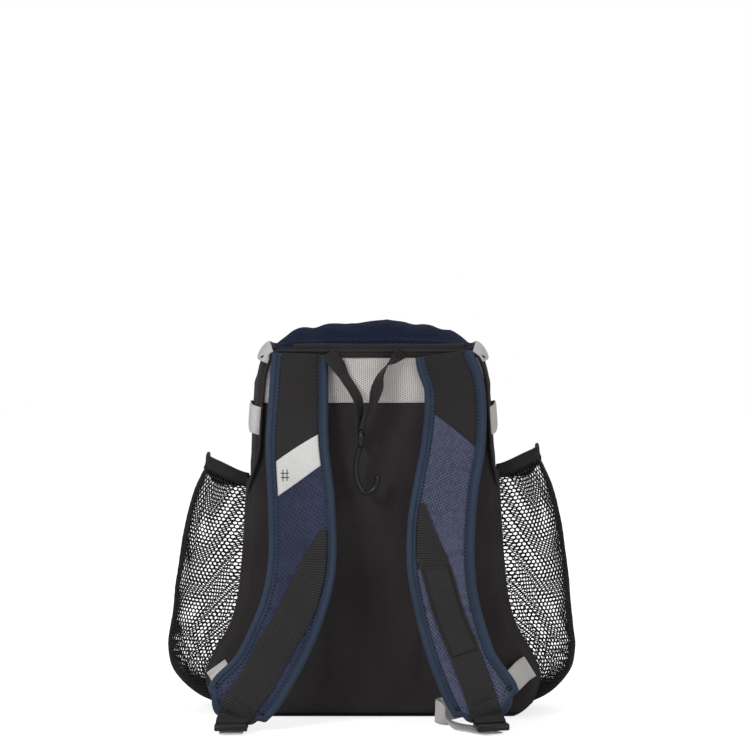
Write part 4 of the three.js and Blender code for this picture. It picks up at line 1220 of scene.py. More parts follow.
@dataclass
class BagShell:
    """The sewn body: back panels, sides, top, base and front, with its piping, zip and grey trim.

    Attributes:
        sewing: Where its sheets are let go.
        side_wrinkle: Height of the side panels' wrinkles, in millimetres.
        top_wrinkle: Height of the top panel's wrinkles, in millimetres.
        yoke_reach: How far the yoke's upper edge reaches to the left and right, in millimetres.
        wrap: How far the left and right side cloth rolls round onto the back, in millimetres of cloth.
        roll: Radius of that cloth's roll, in millimetres.
        piping: Radius of its seam piping, in millimetres.
        zip_through: The zip's middle, as a share from back to front.
        zip_width: Width of the zip's tape, in millimetres.
        tooth_pitch: From one zip tooth to the next, in millimetres.
        trim_lift: Height of the grey trim over the body, in millimetres.
        foot: Height of the padded panels' lower edges, in millimetres.
        noise: Their wrinkles' noise.
        shell_pieces: Each made piece with its finish, the nodes it replaces and its padding's fill.
    """

    sewing: Sewing
    side_wrinkle: float = 2.2
    top_wrinkle: float = 0.9
    yoke_reach: tuple[float, float] = (87.0, 99.0)
    wrap: tuple[float, float] = (13.0, 8.0)
    roll: float = 5.0
    piping: float = 1.9
    zip_through: float = 0.84
    zip_width: float = 26.0
    tooth_pitch: float = 1.9
    trim_lift: float = 2.9
    foot: float = 4.8
    noise: ClothNoise = field(default_factory=lambda: ClothNoise(11))
    shell_pieces: list[ShellPiece] = field(default_factory=list)

    def build(self) -> None:
        """Makes and dresses every piece of the body."""
        self.back_panel()
        self.mesh_band()
        self.yoke()
        self.side_panels()
        self.top_panel()
        self.base_and_front()
        self.seam_piping()
        self.zip()
        self.trim()

    def rolled(self, way: Rows, through: Rows, height: Rows | float) -> Rows:
        """Points over the body, where a through below nothing rolls round the back seam onto the back.

        Args:
            way: The way round the outline.
            through: Share from back to front, with lengths past the back seam as negative millimetres.
            height: Height over the cloth, in millimetres.

        Returns:
            Rows of points, in millimetres.
        """
        spot = FORM.raised(way, np.maximum(through, 0), height)
        length = np.maximum(-through, 0)
        turn = np.minimum(length / self.roll, math.pi / 2)
        lift = np.broadcast_to(height, length.shape) * np.sin(turn)
        out = unit(FORM.normal(way, 0 * way + 0.01) * (1, 0, 1))
        spot -= out * (self.inward(length) + lift)[:, None]
        spot[:, 1] -= (FORM.pad + FORM.gap + 1.9) * np.sin(turn) + lift
        return spot

    def inward(self, length: Rows) -> Rows:
        """How far cloth of a length reaches onto the back once it has rolled round the seam."""
        turn = np.minimum(length / self.roll, math.pi / 2)
        return self.roll * (1 - np.cos(turn)) + np.maximum(length - self.roll * math.pi / 2, 0)

    def wrapped(self, side: int, z: Rows) -> Rows:
        """How much side cloth rolls round onto the back at a height."""
        most = self.wrap[0] if side < 0 else self.wrap[1]
        crest = ease(397, 406, z)
        return most * ease(235, 300, z) * (1 - crest) + 9.5 * crest

    def back_half(self, side: Rows, z: Rows) -> Rows:
        """Half-width of the back that the rolled side cloth leaves bare at a height."""
        length = np.where(side < 0, self.wrapped(-1, z), self.wrapped(1, z))
        return FORM.seam_half(z) - np.maximum(self.inward(length) - 1.2, 0)

    def back_panel(self) -> None:
        """The padded black back panel, with its lumbar channels sewn in."""

        def face(a: Rows, b: Rows) -> Rows:
            """Points of the padded face, across and up."""
            z = self.foot + (PANEL_TOP - self.foot) * b**1.15
            side = 2 * a - 1
            half = self.back_half(side, z)
            x = side * half
            swell = FORM.swell(FORM.back_crown, side, panel_share(z))
            edge = 3.0 * (ease(0, 9, half - np.abs(x)) * ease(0, 9, PANEL_TOP - z) * ease(0, 9, z) - 1)
            channel = 52 + 4 * ease(50, 110, z) + 17 * (1 - ease(16, 48, z))
            fade = ease(14, 26, z) * (1 - ease(190, 270, z)) * ease(8, 40, z)
            sewn = -2.4 * bump((np.abs(x) - channel) / 4.0) * fade
            soft = 1.0 * self.noise.cloth(xyz(x, 0, z) / 60.0) + 0.35 * self.noise.cloth(xyz(x, 9, z) / 21.0)
            return xyz(x, FORM.back - swell - edge - sewn - soft, z)

        panel = sheet("back_panel_pad", (110, 110), face, (300, 350), (0, -1, 0), thick=FORM.pad)
        self.sewing.add(panel, Slack(extra=0.006, press=0.2, most=1.6, gravity=0.1))
        self.shell_pieces.append((panel, BLACK_CLOTH, ("back_panel",), 0.35))

    def mesh_band(self) -> None:
        """The light band of spacer mesh under the yoke."""

        def face(a: Rows, b: Rows) -> Rows:
            """Points of the band's face, across and up."""
            z = MESH_BOTTOM - 2.0 + (MESH_TOP + 2 - MESH_BOTTOM + 2.0) * b
            side = 2 * a - 1
            x = side * self.back_half(side, z)
            swell = FORM.swell(1.5, side, np.clip((z - MESH_BOTTOM) / BAND_HEIGHT, 0, 1))
            soft = 0.5 * self.noise.cloth(xyz(x, 40, z) / 30.0)
            return xyz(x, FORM.back - swell - soft - 0.3, z)

        band = sheet("back_mesh_band", (110, 24), face, (250, 51), (0, -1, 0), thick=7.5)
        self.shell_pieces.append((band, SPACER_KNIT, ("mesh_band",), None))

    def yoke(self) -> None:
        """The black yoke over the top of the back, a folded strip with two rows of stitches."""
        half_section = (
            (0.0, -84.6), (0.4, -87.3), (2.4, -88.2), (7.0, -88.0), (12.0, -87.9), (14.6, -87.0),
            (15.6, -84.8),
            (15.2, -81.0), (13.8, -77.0),
        )
        rows = [2 * i / (len(half_section) - 1) for i in range(len(half_section))]
        across = Reading(rows, [row[0] for row in half_section])
        out = Reading(rows, [row[1] for row in half_section])

        def face(a: Rows, b: Rows) -> Rows:
            """Points of the strip, across and round its section."""
            side = 2 * a - 1
            rise = across(2 * b)
            z = YOKE_BOTTOM + rise
            cut = ease(YOKE_BOTTOM + 1.0, YOKE_BOTTOM + 13.5, z)
            short = np.where(side < 0, self.yoke_reach[0], self.yoke_reach[1])
            x = side * (FORM.seam_half(np.minimum(z, 409.0)) * (1 - cut) + short * cut + 0.6)
            soft = self.noise.cloth(xyz(x, 70, z) / 26.0)
            return xyz(x, out(2 * b) - 0.5 * soft, z + 0.8 * self.noise.at(xyz(x, 12, 0) / 40.0) * b)

        strip = sheet("yoke_strip", (120, 26), face, (230, 26), (0, -1, 0), thick=1.4)
        self.shell_pieces.append((strip, TWILL, ("yoke",), None))
        low = np.linspace(-118, 118, 150)
        high = np.linspace(4 - self.yoke_reach[0], self.yoke_reach[1] - 4, 150)
        lines = [xyz(low, -88.35, YOKE_BOTTOM + 2.6), xyz(high, -88.2, YOKE_BOTTOM + 11.4)]
        stitching("yoke_stitching", lines, [xyz(0 * low, -1, 0 * low)] * 2, DARK_THREAD)

    def side_panels(self) -> None:
        """The two soft black sides."""
        for suffix, side in SIDES:

            def face(a: Rows, b: Rows, side: int = side) -> Rows:
                """Points of one side, up and from the back seam to the front seam."""
                way = FORM.bottom_end + (FORM.side_end - FORM.bottom_end) * a
                way = way if side > 0 else 2 - way
                flat = FORM.surface(way, 0 * b)
                around = 0.14 * ease(235, 300, flat[:, 2])
                rolling = b / np.maximum(around, 1e-6) - 1
                through = np.where(b < around, rolling, (b - around) / (1 - around))
                spot = FORM.surface(way, np.maximum(through, 0))
                through = np.where(through < 0, through * self.wrapped(side, flat[:, 2]), through)
                inside = np.clip(through, 0, 1)
                free = np.sin(math.pi * inside) ** 0.5 * np.sin(math.pi * np.clip(a, 0, 1)) ** 0.35
                loose = self.noise.cloth(spot * (0.02, 0.03, 0.012) + 3 * side)
                fine = self.noise.creases(spot * (0.03, 0.045, 0.016) + 9 * side) - 0.35
                crumpled = ease(350, 395, spot[:, 2])
                bound = 1 - 0.85 * ease(366, 378, spot[:, 2])
                high = self.side_wrinkle * free * (loose + 0.8 * fine) * (1 + 0.9 * crumpled) * bound
                return self.rolled(way, through, high)

            panel = sheet(f"side_{suffix}", (130, 50), face, (440, 140), (side, 0, 0), thick=FORM.wall)
            self.sewing.add(panel, Slack(extra=0.012, most=2.6, gravity=0.25, stiffness=0.3))
            self.shell_pieces.append((panel, BLACK_CLOTH, (f"side_panel_{suffix}",), None))

    def top_panel(self) -> None:
        """The navy dome over the top."""

        def face(a: Rows, b: Rows) -> Rows:
            """Points of the dome, from side to side and from the back seam to the front seam."""
            way = FORM.side_end + (2 - 2 * FORM.side_end) * a
            through = np.where(b < 0.1, -(1 - b / 0.1) * 9.5, (b - 0.1) / 0.9)
            b = np.maximum(through, 0)
            spot = FORM.surface(way, b)
            free = np.sin(math.pi * np.clip(b, 0.0, 1)) ** 0.5 * np.sin(math.pi * a) ** 0.3
            loose = self.noise.cloth(spot * (0.022, 0.03, 0.02) + 21)
            fine = self.noise.creases(spot * (0.03, 0.02, 0.03) + 31) - 0.3
            hem = 2.2 * bump((b - 0.055) / 0.03) * np.sin(math.pi * a) ** 0.3
            return self.rolled(way, through, self.top_wrinkle * free * (loose + fine) + hem)

        panel = sheet("top_navy", (120, 56), face, (230, 130), (0, 0, 1), thick=FORM.wall)
        self.sewing.add(panel, Slack(extra=0.01, press=0.1, most=2.5, gravity=0.2, stiffness=0.4))
        self.shell_pieces.append((panel, NAVY_CLOTH, ("top_panel",), None))

    def base_and_front(self) -> None:
        """The flat base and the crowned navy front."""

        def under(a: Rows, b: Rows) -> Rows:
            """Points of the base, across and from back to front."""
            spot = FORM.surface(FORM.bottom_end * (2 * a - 1), b)
            spot[:, 2] = np.maximum(spot[:, 2], 0.05)
            return spot

        base = sheet("base_panel", (60, 30), under, (290, 160), (0, 0, -1), thick=FORM.wall)
        self.shell_pieces.append((base, BLACK_CLOTH, ("bottom_panel",), None))
        ways = np.linspace(FORM.bottom_end, FORM.side_end, 161)
        seam = FORM.surface(ways, np.ones(161))
        seam[0, 2] = self.foot
        tall = FORM.height - FORM.front_drop

        def front(a: Rows, b: Rows) -> Rows:
            """Points of the front, across and up."""
            z = np.interp(b**1.1, np.linspace(0, 1, 161), seam[:, 2])
            half = np.interp(z, seam[:, 2], seam[:, 0])
            side = 2 * a - 1
            up = np.clip(z / tall, 0, 1)
            flat = FORM.back + FORM.depth(up)
            swell = FORM.front_bulge * (1 - side**4) * np.sin(math.pi * up) ** 0.7
            x = side * half
            free = (1 - side**6) * np.sin(math.pi * up) ** 0.4
            creased = self.noise.creases(xyz(x, 50, z) * 0.02) - 0.3
            soft = 1.6 * self.noise.cloth(xyz(x, 90, z) * 0.016) + 1.2 * creased
            seam_line = -1.6 * bump((z - 150 - 6 * side**2) / 1.8) * ease(0, 0.05, 1 - np.abs(side))
            return xyz(x, flat + swell + free * soft + seam_line, z)

        panel = sheet("front_navy", (110, 120), front, (280, 390), (0, 1, 0), thick=FORM.wall)
        self.sewing.add(panel, Slack(extra=0.01, press=0.1, most=3.0, gravity=0.25, stiffness=0.4))
        self.shell_pieces.append((panel, NAVY_CLOTH, ("front_panel",), None))

    def seam_piping(self) -> None:
        """Black piping round the back seam and the front seam."""
        for name, through, out in (("back_piping", 0.0, -0.6), ("front_piping", 1.0, 0.6)):
            ring = np.linspace(0.0, 2.0, 360)
            rows = FORM.surface(ring, np.full(360, through))
            side = np.where(rows[:, 0] < 0, -1, 1)
            if through == 0.0:
                lengths = np.where(side < 0, self.wrapped(-1, rows[:, 2]), self.wrapped(1, rows[:, 2]))
                rows = self.rolled(ring, -lengths - 1e-6, 0.0)
            rows = rows + FORM.normal(ring, np.full(360, 0.02 + 0.96 * through)) * 0.4
            rows[:, 1] += out
            rows[:, 2] = np.maximum(rows[:, 2], self.piping)
            rows[-1] = rows[0]
            cord = rod(name, Spline(rows, 1200), self.piping, 2.5, 10, ring=True)
            self.shell_pieces.append((cord, BLACK_CLOTH, (), None))

    def zip(self) -> None:
        """The main zip: tape, rows of teeth, and two sliders with pulls."""
        start = FORM.way_at(0.74)
        half_tape = self.zip_width / 2 / FORM.top_depth

        def tape(a: Rows, b: Rows) -> Rows:
            """Points of the tape, along and across."""
            way = start + (2 - 2 * start) * a
            through = self.zip_through + (2 * b - 1) * half_tape
            return FORM.raised(way, through, 2.6 + 0.3 * self.noise.at(xyz(way * 60, b * 3, 0)))

        strip = sheet("zip_tape_strip", (260, 12), tape, (560, 26), (0, 0, 1), thick=1.0)
        self.shell_pieces.append((strip, ELASTIC, ("zip_tape",), None))
        ways = start + (2 - 2 * start) * np.linspace(0, 1, 1200)
        line = FORM.raised(ways, np.full(1200, self.zip_through), 3.4)
        outs = FORM.normal(ways, np.full(1200, self.zip_through))
        steps = walked(line)
        size = (3.4, self.tooth_pitch * 0.42, 1.1)
        shape = bmesh.new()
        for i, at in enumerate(np.arange(2.0, steps[-1] - 2.0, self.tooth_pitch)):
            row = min(int(np.searchsorted(steps, at)), len(line) - 2)
            bead(shape, line[row], line[row + 1] - line[row], outs[row], size, 0.5 if i % 2 else -0.5)
        mesh = meshed("zip_teeth", shape)
        smooth(mesh)
        put_uv(mesh, read_points(mesh)[:, :2])
        self.shell_pieces.append((keep("zip_teeth", mesh), COIL_PLASTIC, ("zip_coil",), None))
        for suffix, side in SIDES:
            self.slider(suffix, side)

    def slider(self, suffix: str, side: int) -> None:
        """One slider with its pull tab lying along the zip.

        Args:
            suffix: Which side, in words.
            side: -1 for left and 1 for right.
        """
        way = 1 - side * FORM.way_for(16.0, 1.0)
        far = 1 - side * FORM.way_for(46.0, 1.0)
        ends = FORM.raised(np.array([way, far]), np.full(2, self.zip_through), np.array([6.2, 6.4]))
        up = Vector(FORM.normal(np.array([way]), np.array([self.zip_through]))[0])
        run = Vector(ends[1] - ends[0]).normalized()
        across = run.cross(up).normalized()
        turn = turned(across, run, across.cross(run))
        shape = bmesh.new()
        for offset, size in ((0.0, (8.6, 10.0, 2.2)), (13.0, (6.0, 14.0, 1.6)), (26.0, (8.8, 12.0, 2.4))):
            spot = Matrix.Translation((Vector(ends[0]) + run * offset) * MM)
            block(shape, spot @ turn, size, 0.7, 3)
        mesh = meshed(f"zip_slider_{suffix}", shape)
        smooth(mesh, 40)
        put_uv(mesh, read_points(mesh)[:, :2])
        self.shell_pieces.append((keep(mesh.name, mesh), GLOSS_PLASTIC, (f"zip_pull_{suffix}",), None))

    def trim(self) -> None:
        """Grey webbing over the top corners and a grey patch on each side."""
        corner = FORM.way_at(0.97)
        patch = FORM.way_at(0.76)
        far = self.zip_through - self.zip_width / 2 / FORM.top_depth - 0.02
        straps = (
            ("corner_webbing", "corner_strap", corner, (-5, 17), 0, 24),
            ("side_reflector", "side_patch", patch, (0, 34), 14, 34),
        )
        for name, node, at, ends, slant, width in straps:
            low, high = (at + FORM.way_for(end, at) for end in ends)
            for suffix, side in SIDES:
                face = self.trim_face(side, (low, high), FORM.way_for(slant, at), far)
                strip = sheet(f"{name}_{suffix}", (60, 20), face, (90, width), (side, 0, 1), thick=1.2)
                self.shell_pieces.append((strip, GREY_WEBBING, (f"{node}_{suffix}",), None))

    def trim_face(self, side: int, ends: tuple[float, float], slant: float, far: float) -> Place:
        """How a grey strip lies over the body, from the back round to the zip.

        Args:
            side: -1 for left and 1 for right.
            ends: Its lower and upper edge, as ways round the outline.
            slant: How far its front end is further round than its back end.
            far: Share from back to front at which it ends.

        Returns:
            Its place function, along and across.
        """
        roll = 0.2
        low, high = ends

        def face(a: Rows, b: Rows) -> Rows:
            """Points of the strip, along and across."""
            way = low + (high - low) * b + slant * a
            way = way if side > 0 else 2 - way
            length = self.wrapped(side, FORM.surface(way, 0 * a)[:, 2]) - 1.0
            rolling = (a / roll - 1) * np.maximum(length, 0)
            through = np.where(a < roll, rolling, (a - roll) / (1 - roll) * far)
            inside = ease(0, 0.12, b) * ease(0, 0.12, 1 - b) * ease(0, 0.04, a) * ease(0, 0.04, 1 - a)
            return self.rolled(way, through, self.trim_lift + 0.7 * (inside - 1))

        return face

    def finish(self) -> None:
        """Dresses the body's pieces once they have settled."""
        for piece, look, nodes, fill in self.shell_pieces:
            dress(piece, look, *nodes)


# Bat pockets

@dataclass
class BatPocket:
    """A bulging net pocket on one side, with its gathered hem and sewn edges.

    Attributes:
        suffix: Which side, in words.
        side: -1 for left and 1 for right.
        columns: Net cells round it.
        rows: Net cells up it.
        strand: Thickness of the net's yarn, in millimetres.
        near: From the back panel's plane to its near seam, in millimetres.
        span: From its near seam to its far seam, in millimetres.
        bottom: Height of its bottom seam, in millimetres.
        height: Height of its rim over that seam, in millimetres.
        bulge: How far it stands out, in millimetres.
        rim_rise: How far the rim rises in its middle, in millimetres.
        rim_fall: How far the rim falls at its far seam, in millimetres.
        lift: How much higher the right pocket's rim is, in millimetres.
        gather: Depth of the rim's gathers, in millimetres.
        hem_height: Height of the rim's elastic, in millimetres.
        noise: Its folds' noise.
    """

    suffix: str
    side: int
    columns: int = 40
    rows: int = 60
    strand: float = 1.75
    near: float = 15.0
    span: float = 116.0
    bottom: float = 13.0
    height: float = 243.0
    bulge: float = 74.0
    rim_rise: float = 20.0
    rim_fall: float = 12.0
    lift: float = 10.0
    gather: float = 2.2
    hem_height: float = 12.0
    noise: ClothNoise = field(default_factory=lambda: ClothNoise(23))

    OUT = Reading(
        [0, 0.03, 0.06, 0.1, 0.15, 0.23, 0.33, 0.49, 0.65, 0.77, 0.87, 0.95, 1],
        [0, 0.26, 0.37, 0.47, 0.58, 0.75, 0.91, 1, 0.98, 0.93, 0.86, 0.75, 0.66],
    )
    RISE = Reading([0, 0.1, 0.2, 0.33, 0.45, 0.6, 0.8, 1], [0, 0.36, 0.6, 0.86, 1, 0.7, 0.15, 0])
    FALL = Reading([0, 0.18, 0.33, 0.47, 0.62, 0.8, 1], [0, 0, 0, 0, 0.45, 0.9, 1])

    def point(
        self, round_: Rows, up: Rows, above: Rows | float = 0.0, out: Rows | float = 0.0
    ) -> Rows:
        """Points of the pocket from near seam to far seam and from its bottom seam to its rim.

        Args:
            round_: Share of the way from near seam to far seam.
            up: Share of the way from bottom seam to rim.
            above: Height over that, in millimetres.
            out: How much further out, in millimetres.

        Returns:
            Rows of points, in millimetres.
        """
        tall = self.height + (self.lift if self.side > 0 else 0.0)
        rim = tall + self.rim_rise * self.RISE(round_) - self.rim_fall * self.FALL(round_)
        z = self.bottom + up * rim + above
        share = np.clip((z - self.bottom) / (tall + self.rim_rise), 0, 1)
        turn = math.pi * round_
        y = FORM.back + self.near + self.span * (1 - np.cos(turn)) / 2
        belly = np.maximum(0, np.sin(turn)) ** 0.75
        waves = self.gather * np.sin(8 * turn) * share**3
        reach = self.OUT(share) * belly * (self.bulge + waves) + out * belly**0.5
        return xyz(self.side * (FORM.wall_at(z, y) - 0.6 + reach), y, z)

    def build(self) -> None:
        """Makes and dresses the pocket."""
        self.net()
        self.hem()
        self.edges()

    def net(self) -> None:
        """The hexagonal net: six-sided cells whose edges are thickened into yarn."""
        shape = bmesh.new()
        row_pitch, radius = math.sqrt(3) / 2, 1 / math.sqrt(3)
        for row in range(self.rows + 1):
            for column in range(self.columns + 1):
                spot = Matrix.Translation((column + 0.5 * (row % 2), row * row_pitch, 0))
                bmesh.ops.create_circle(shape, cap_ends=True, segments=6, radius=radius, matrix=spot)
        bmesh.ops.remove_doubles(shape, verts=shape.verts[:], dist=0.02)
        mesh = meshed(f"bat_net_{self.suffix}", shape)
        flat = read_points(mesh)
        round_ = np.clip(flat[:, 0] / self.columns, 0, 1)
        up = np.clip(flat[:, 1] / (self.rows * row_pitch), 0, 1)
        belly = np.sin(math.pi * round_) * np.sin(math.pi * np.clip(up, 0, 0.97)) ** 0.5
        folds = self.noise.cloth(xyz(round_ * 4 + 3 * self.side, up * 1.4, 0)) * 2.6
        seam = -5.0 * bump((round_ - 0.42 - 0.08 * up) / 0.02) * ease(0.35, 0.7, up)
        fine = self.noise.at(xyz(round_ * 26, up * 30, self.side)) * 0.2
        spots = self.point(round_, up, out=belly * (folds + fine + seam) - 1.0)
        put_uv(mesh, np.stack([round_ * 0.2, up * 0.28], axis=1))
        write_points(mesh, spots * MM)
        edit(mesh, lambda work: bmesh.ops.dissolve_degenerate(work, dist=2e-4, edges=work.edges[:]) and None)
        facing(mesh, (self.side, 0, 0))
        smooth(mesh)
        piece = keep(mesh.name, mesh)
        yarn = piece.modifiers.new("yarn", "WIREFRAME")
        yarn.thickness = self.strand * MM
        yarn.use_even_offset = False
        yarn.use_replace = True
        yarn.use_boundary = True
        dress(piece, NET_YARN, f"pocket_net_{self.suffix}")

    def hem(self) -> None:
        """The gathered elastic band along the rim, rolled over its upper edge."""
        rows, sides = 190, 20

        def place(along: Rows, round_: Rows) -> Rows:
            """Points of the band, along the rim and round its section."""
            turn = 2 * math.pi * np.rint(round_ * sides) / sides
            wide = self.hem_height / 2 + 0.6
            lift = np.sign(np.sin(turn)) * np.abs(np.sin(turn)) ** 0.7 * wide
            thick = np.sign(np.cos(turn)) * np.abs(np.cos(turn)) ** 0.6 * 1.9
            ruck = 0.6 * self.noise.at(xyz(along * 40, lift * 0.05, self.side)) + 0.25 * np.sin(along * 260)
            above = self.hem_height / 2 + lift + 0.3 * ruck
            return self.point(along, np.ones_like(along), above, thick + ruck)

        band = tube(f"bat_hem_{self.suffix}", (rows, sides), place, (200, 30))
        dress(band, ELASTIC, f"pocket_hem_{self.suffix}")

    def edges(self) -> None:
        """The sewn tape where the net joins the side, and its foot seam."""
        up = np.linspace(1.03, 0.0, 60)
        round_ = np.linspace(0.0, 1.0, 60)
        still = np.ones(60)
        near = self.point(0 * still, up)
        foot = self.point(round_, 0 * still + 0.004)
        far = self.point(still, up[::-1])
        line = np.vstack([near, foot[2:-2], far])
        line[:, 0] += self.side * 1.0
        tape = rod(f"bat_pocket_tape_{self.suffix}", Spline(line, 900), 2.2, 2.5, 10)
        dress(tape, BLACK_CLOTH)


# Shoulder straps

@dataclass
class StrapForm:
    """One shoulder strap's middle line and width, as the solids have them.

    Attributes:
        side: -1 for left and 1 for right.
        rows: Height, place aside, reach in front and width, as shares, from the yoke down.
        width: What the width shares count, in millimetres.
        thickness: Thickness of the padded middle.
        edge_thickness: Thickness at the bindings.
        spread: What the shares aside count.
        bow: What the shares in front count.
        past_pad: Rows after the pad's end, for the webbing.
        flare: How much further its outer edge stands out at the pad's lower end.
    """

    side: int
    rows: Sequence[tuple[float, float, float, float]]
    width: float = 75.0
    thickness: float = 9.0
    edge_thickness: float = 6.0
    spread: float = 80.0
    bow: float = 93.0
    past_pad: int = 2
    flare: float = 12.0

    def __post_init__(self) -> None:
        """Fits the middle line."""
        table = np.asarray(self.rows, float)
        seat = 2.0 + 0.3 + self.thickness / 2
        aside, front = self.side * table[:, 1] * self.spread, FORM.back - seat - table[:, 2] * self.bow
        points = xyz(aside, front, table[:, 0] * FORM.height)
        self.curve = Spline(points, 600)
        self.length = Spline(points[: -self.past_pad], 600).length
        last = len(table) - 1
        self.pad_share = (last - self.past_pad) / last
        self.widths = Reading(np.arange(last + 1) / last, table[:, 3])

    def frame(self, along: Rows) -> tuple[Rows, Rows, Rows, Rows]:
        """Where the strap is and how it lies.

        Args:
            along: Lengths along the strap, in millimetres.

        Returns:
            Rows of spots, and of the directions along it, across it and out of its face.
        """
        share = self.curve.share_at(np.clip(along, 0, self.curve.length))
        run = self.curve.tangent(share)
        across = np.tile((-1.0, 0.0, 0.0), (len(run), 1))
        across = unit(across - run * np.sum(across * run, axis=1, keepdims=True))
        return self.curve.point(share), run, across, np.cross(across, run)

    def half(self, along: Rows, edge: Rows | float) -> Rows:
        """Half of the strap's width at lengths along it, on the side that the edge's sign names."""
        share = self.curve.share_at(np.clip(along, 0, self.curve.length))
        outer = np.sign(edge) == -self.side
        flared = self.flare * ease(self.length - 70, self.length - 12, along) * outer
        return self.widths(np.minimum(share, self.pad_share)) * self.width / 2 + flared

    def point(self, along: Rows, across: Rows, height: Rows | float) -> Rows:
        """Points over the strap's middle line, by lengths along, across and out of it."""
        along = np.atleast_1d(np.asarray(along, float))
        spot, _, side, face = self.frame(along)
        over = np.reshape(np.broadcast_to(height, along.shape), (-1, 1))
        return spot + side * np.reshape(np.broadcast_to(across, along.shape), (-1, 1)) + face * over

    def along_at(self, up: float) -> float:
        """The length along the strap at which it reaches a height share."""
        along = np.linspace(0, self.length, 500)
        return float(along[np.argmax(self.point(along, 0 * along, 0)[:, 2] < up * FORM.height)])


STRAP_ROWS = {
    "left": (
        (0.978, 0.995, 0, 0.82), (0.92, 1.01, 0.02, 0.85), (0.846, 1.02, 0.06, 0.88),
        (0.739, 1.033, 0.18, 0.92),
        (0.581, 0.968, 0.38, 0.97), (0.424, 0.96, 0.58, 0.98), (0.32, 1.07, 0.71, 0.95),
        (0.218, 1.283, 0.81, 0.94), (0.116, 1.569, 0.91, 0.91), (0.066, 1.74, 0.96, 0.83),
        (0.028, 1.85, 1, 0.58),
        (0.019, 1.87, 1.17, 0.5), (0.016, 1.86, 1.5, 0.5),
    ),
    "right": (
        (0.978, 0.975, 0, 0.85), (0.957, 0.99, 0.01, 0.86), (0.9, 1.1, 0.03, 0.88), (0.846, 1.127, 0.06, 0.9),
        (0.739, 1.095, 0.18, 0.93), (0.633, 0.997, 0.32, 0.94), (0.528, 0.925, 0.46, 0.98),
        (0.424, 0.916, 0.58, 0.98), (0.32, 0.995, 0.71, 0.94), (0.218, 1.14, 0.81, 0.94),
        (0.116, 1.338, 0.91, 0.93), (0.066, 1.445, 0.96, 0.86), (0.031, 1.52, 1, 0.6),
        (0.021, 1.56, 1.16, 0.5),
        (0.018, 1.6, 1.48, 0.5),
    ),
}
WEB_ROWS = {
    "left": (1.0, (
        (0.028, 1.86), (0.066, 1.78), (0.116, 1.591), (0.218, 1.294), (0.32, 0.998), (0.424, 0.75),
        (0.528, 0.444),
    )),
    "right": (0.88, (
        (0.031, 1.52), (0.066, 1.475), (0.195, 1.235), (0.31, 1.0), (0.424, 0.831), (0.5, 0.66),
        (0.59, 0.455),
    )),
}
LOWER_WEB_ROWS = {
    "left": (
        (0, 0, 1, 0, 39), (0.14, 0.015, 0.92, 0, 41), (0.4, 0.12, 0.72, 0, 50), (0.7, 0.3, 0.36, 0, 75),
        (0.85, 0.5, 0.12, 0, 90), (0.95, 0.72, 0.04, 0, 90), (1, 0.9, 0.035, 0, 90), (1, 1, 0.04, 0, 90),
    ),
    "right": (
        (0, 0, 1, 0, 27), (0.16, 0.015, 0.92, 0, 27), (0.5, 0.1, 0.7, 0, 25), (1, 0.2, 0.42, 0.2, 15),
        (1, 0.28, 0.29, 0.65, 5), (1, 0.35, 0.27, 0.95, 0), (1, 0.42, 0.27, 1, 0), (1, 0.5, 0.24, 0.9, 12),
        (1, 0.59, 0.12, 0.7, 65), (1, 0.7, 0.05, 0.5, 88), (1, 0.84, 0.035, 0.22, 90), (1, 1, 0.045, 0, 90),
    ),
}


def webbing(
    name: str, spots: Spline, turns: Spline, width: float, thickness: float, pitch: float = 2.6
) -> Piece:
    """A ribbed webbing ribbon along a curve, its width turned by a second curve.

    Args:
        name: The piece's name.
        spots: Its middle line, in millimetres.
        turns: The way its width runs, over the same knots.
        width: Its width, in millimetres.
        thickness: Its thickness, in millimetres.
        pitch: From rib to rib, in millimetres.

    Returns:
        The new object.
    """
    rows = int(spots.length / pitch * 4)
    shares = spots.share_at(np.linspace(0, spots.length, rows + 1))
    middle, run, across = spots.point(shares), spots.tangent(shares), turns.point(shares)
    across = unit(across - run * np.sum(across * run, axis=1, keepdims=True))
    face = np.cross(run, across)
    ring = web_section(width, thickness)

    def place(along: Rows, round_: Rows) -> Rows:
        """Points of the ribbon, along it and round its section."""
        row = np.rint(along * rows).astype(int)
        section = ring[np.rint(round_ * (len(ring) - 1)).astype(int)]
        rib = 0.16 * np.abs(np.sin(math.pi * along * spots.length / pitch))
        lift = section[:, 1] + np.sign(section[:, 1]) * rib
        return middle[row] + across[row] * section[:, :1] + face[row] * lift[:, None]

    return tube(name, (rows, len(ring) - 1), place, (spots.length, 2 * width), sharp=70)


def web_section(width: float, thickness: float) -> Rows:
    """A webbing's closed cross-section: flat faces with soft selvedges.

    Args:
        width: Its width, in millimetres.
        thickness: Its thickness, in millimetres.

    Returns:
        Rows of places across it and out of it, the last the same as the first.
    """
    half, deep = width / 2, thickness / 2
    across = np.linspace(-1, 1, 9)
    flat = [(half * a, deep * (1 - 0.45 * abs(a) ** 12)) for a in across]
    ring = flat + [(half + 0.3, 0.0)] + [(x, -y) for x, y in reversed(flat)] + [(-half - 0.3, 0.0)]
    return np.array(ring + ring[:1])


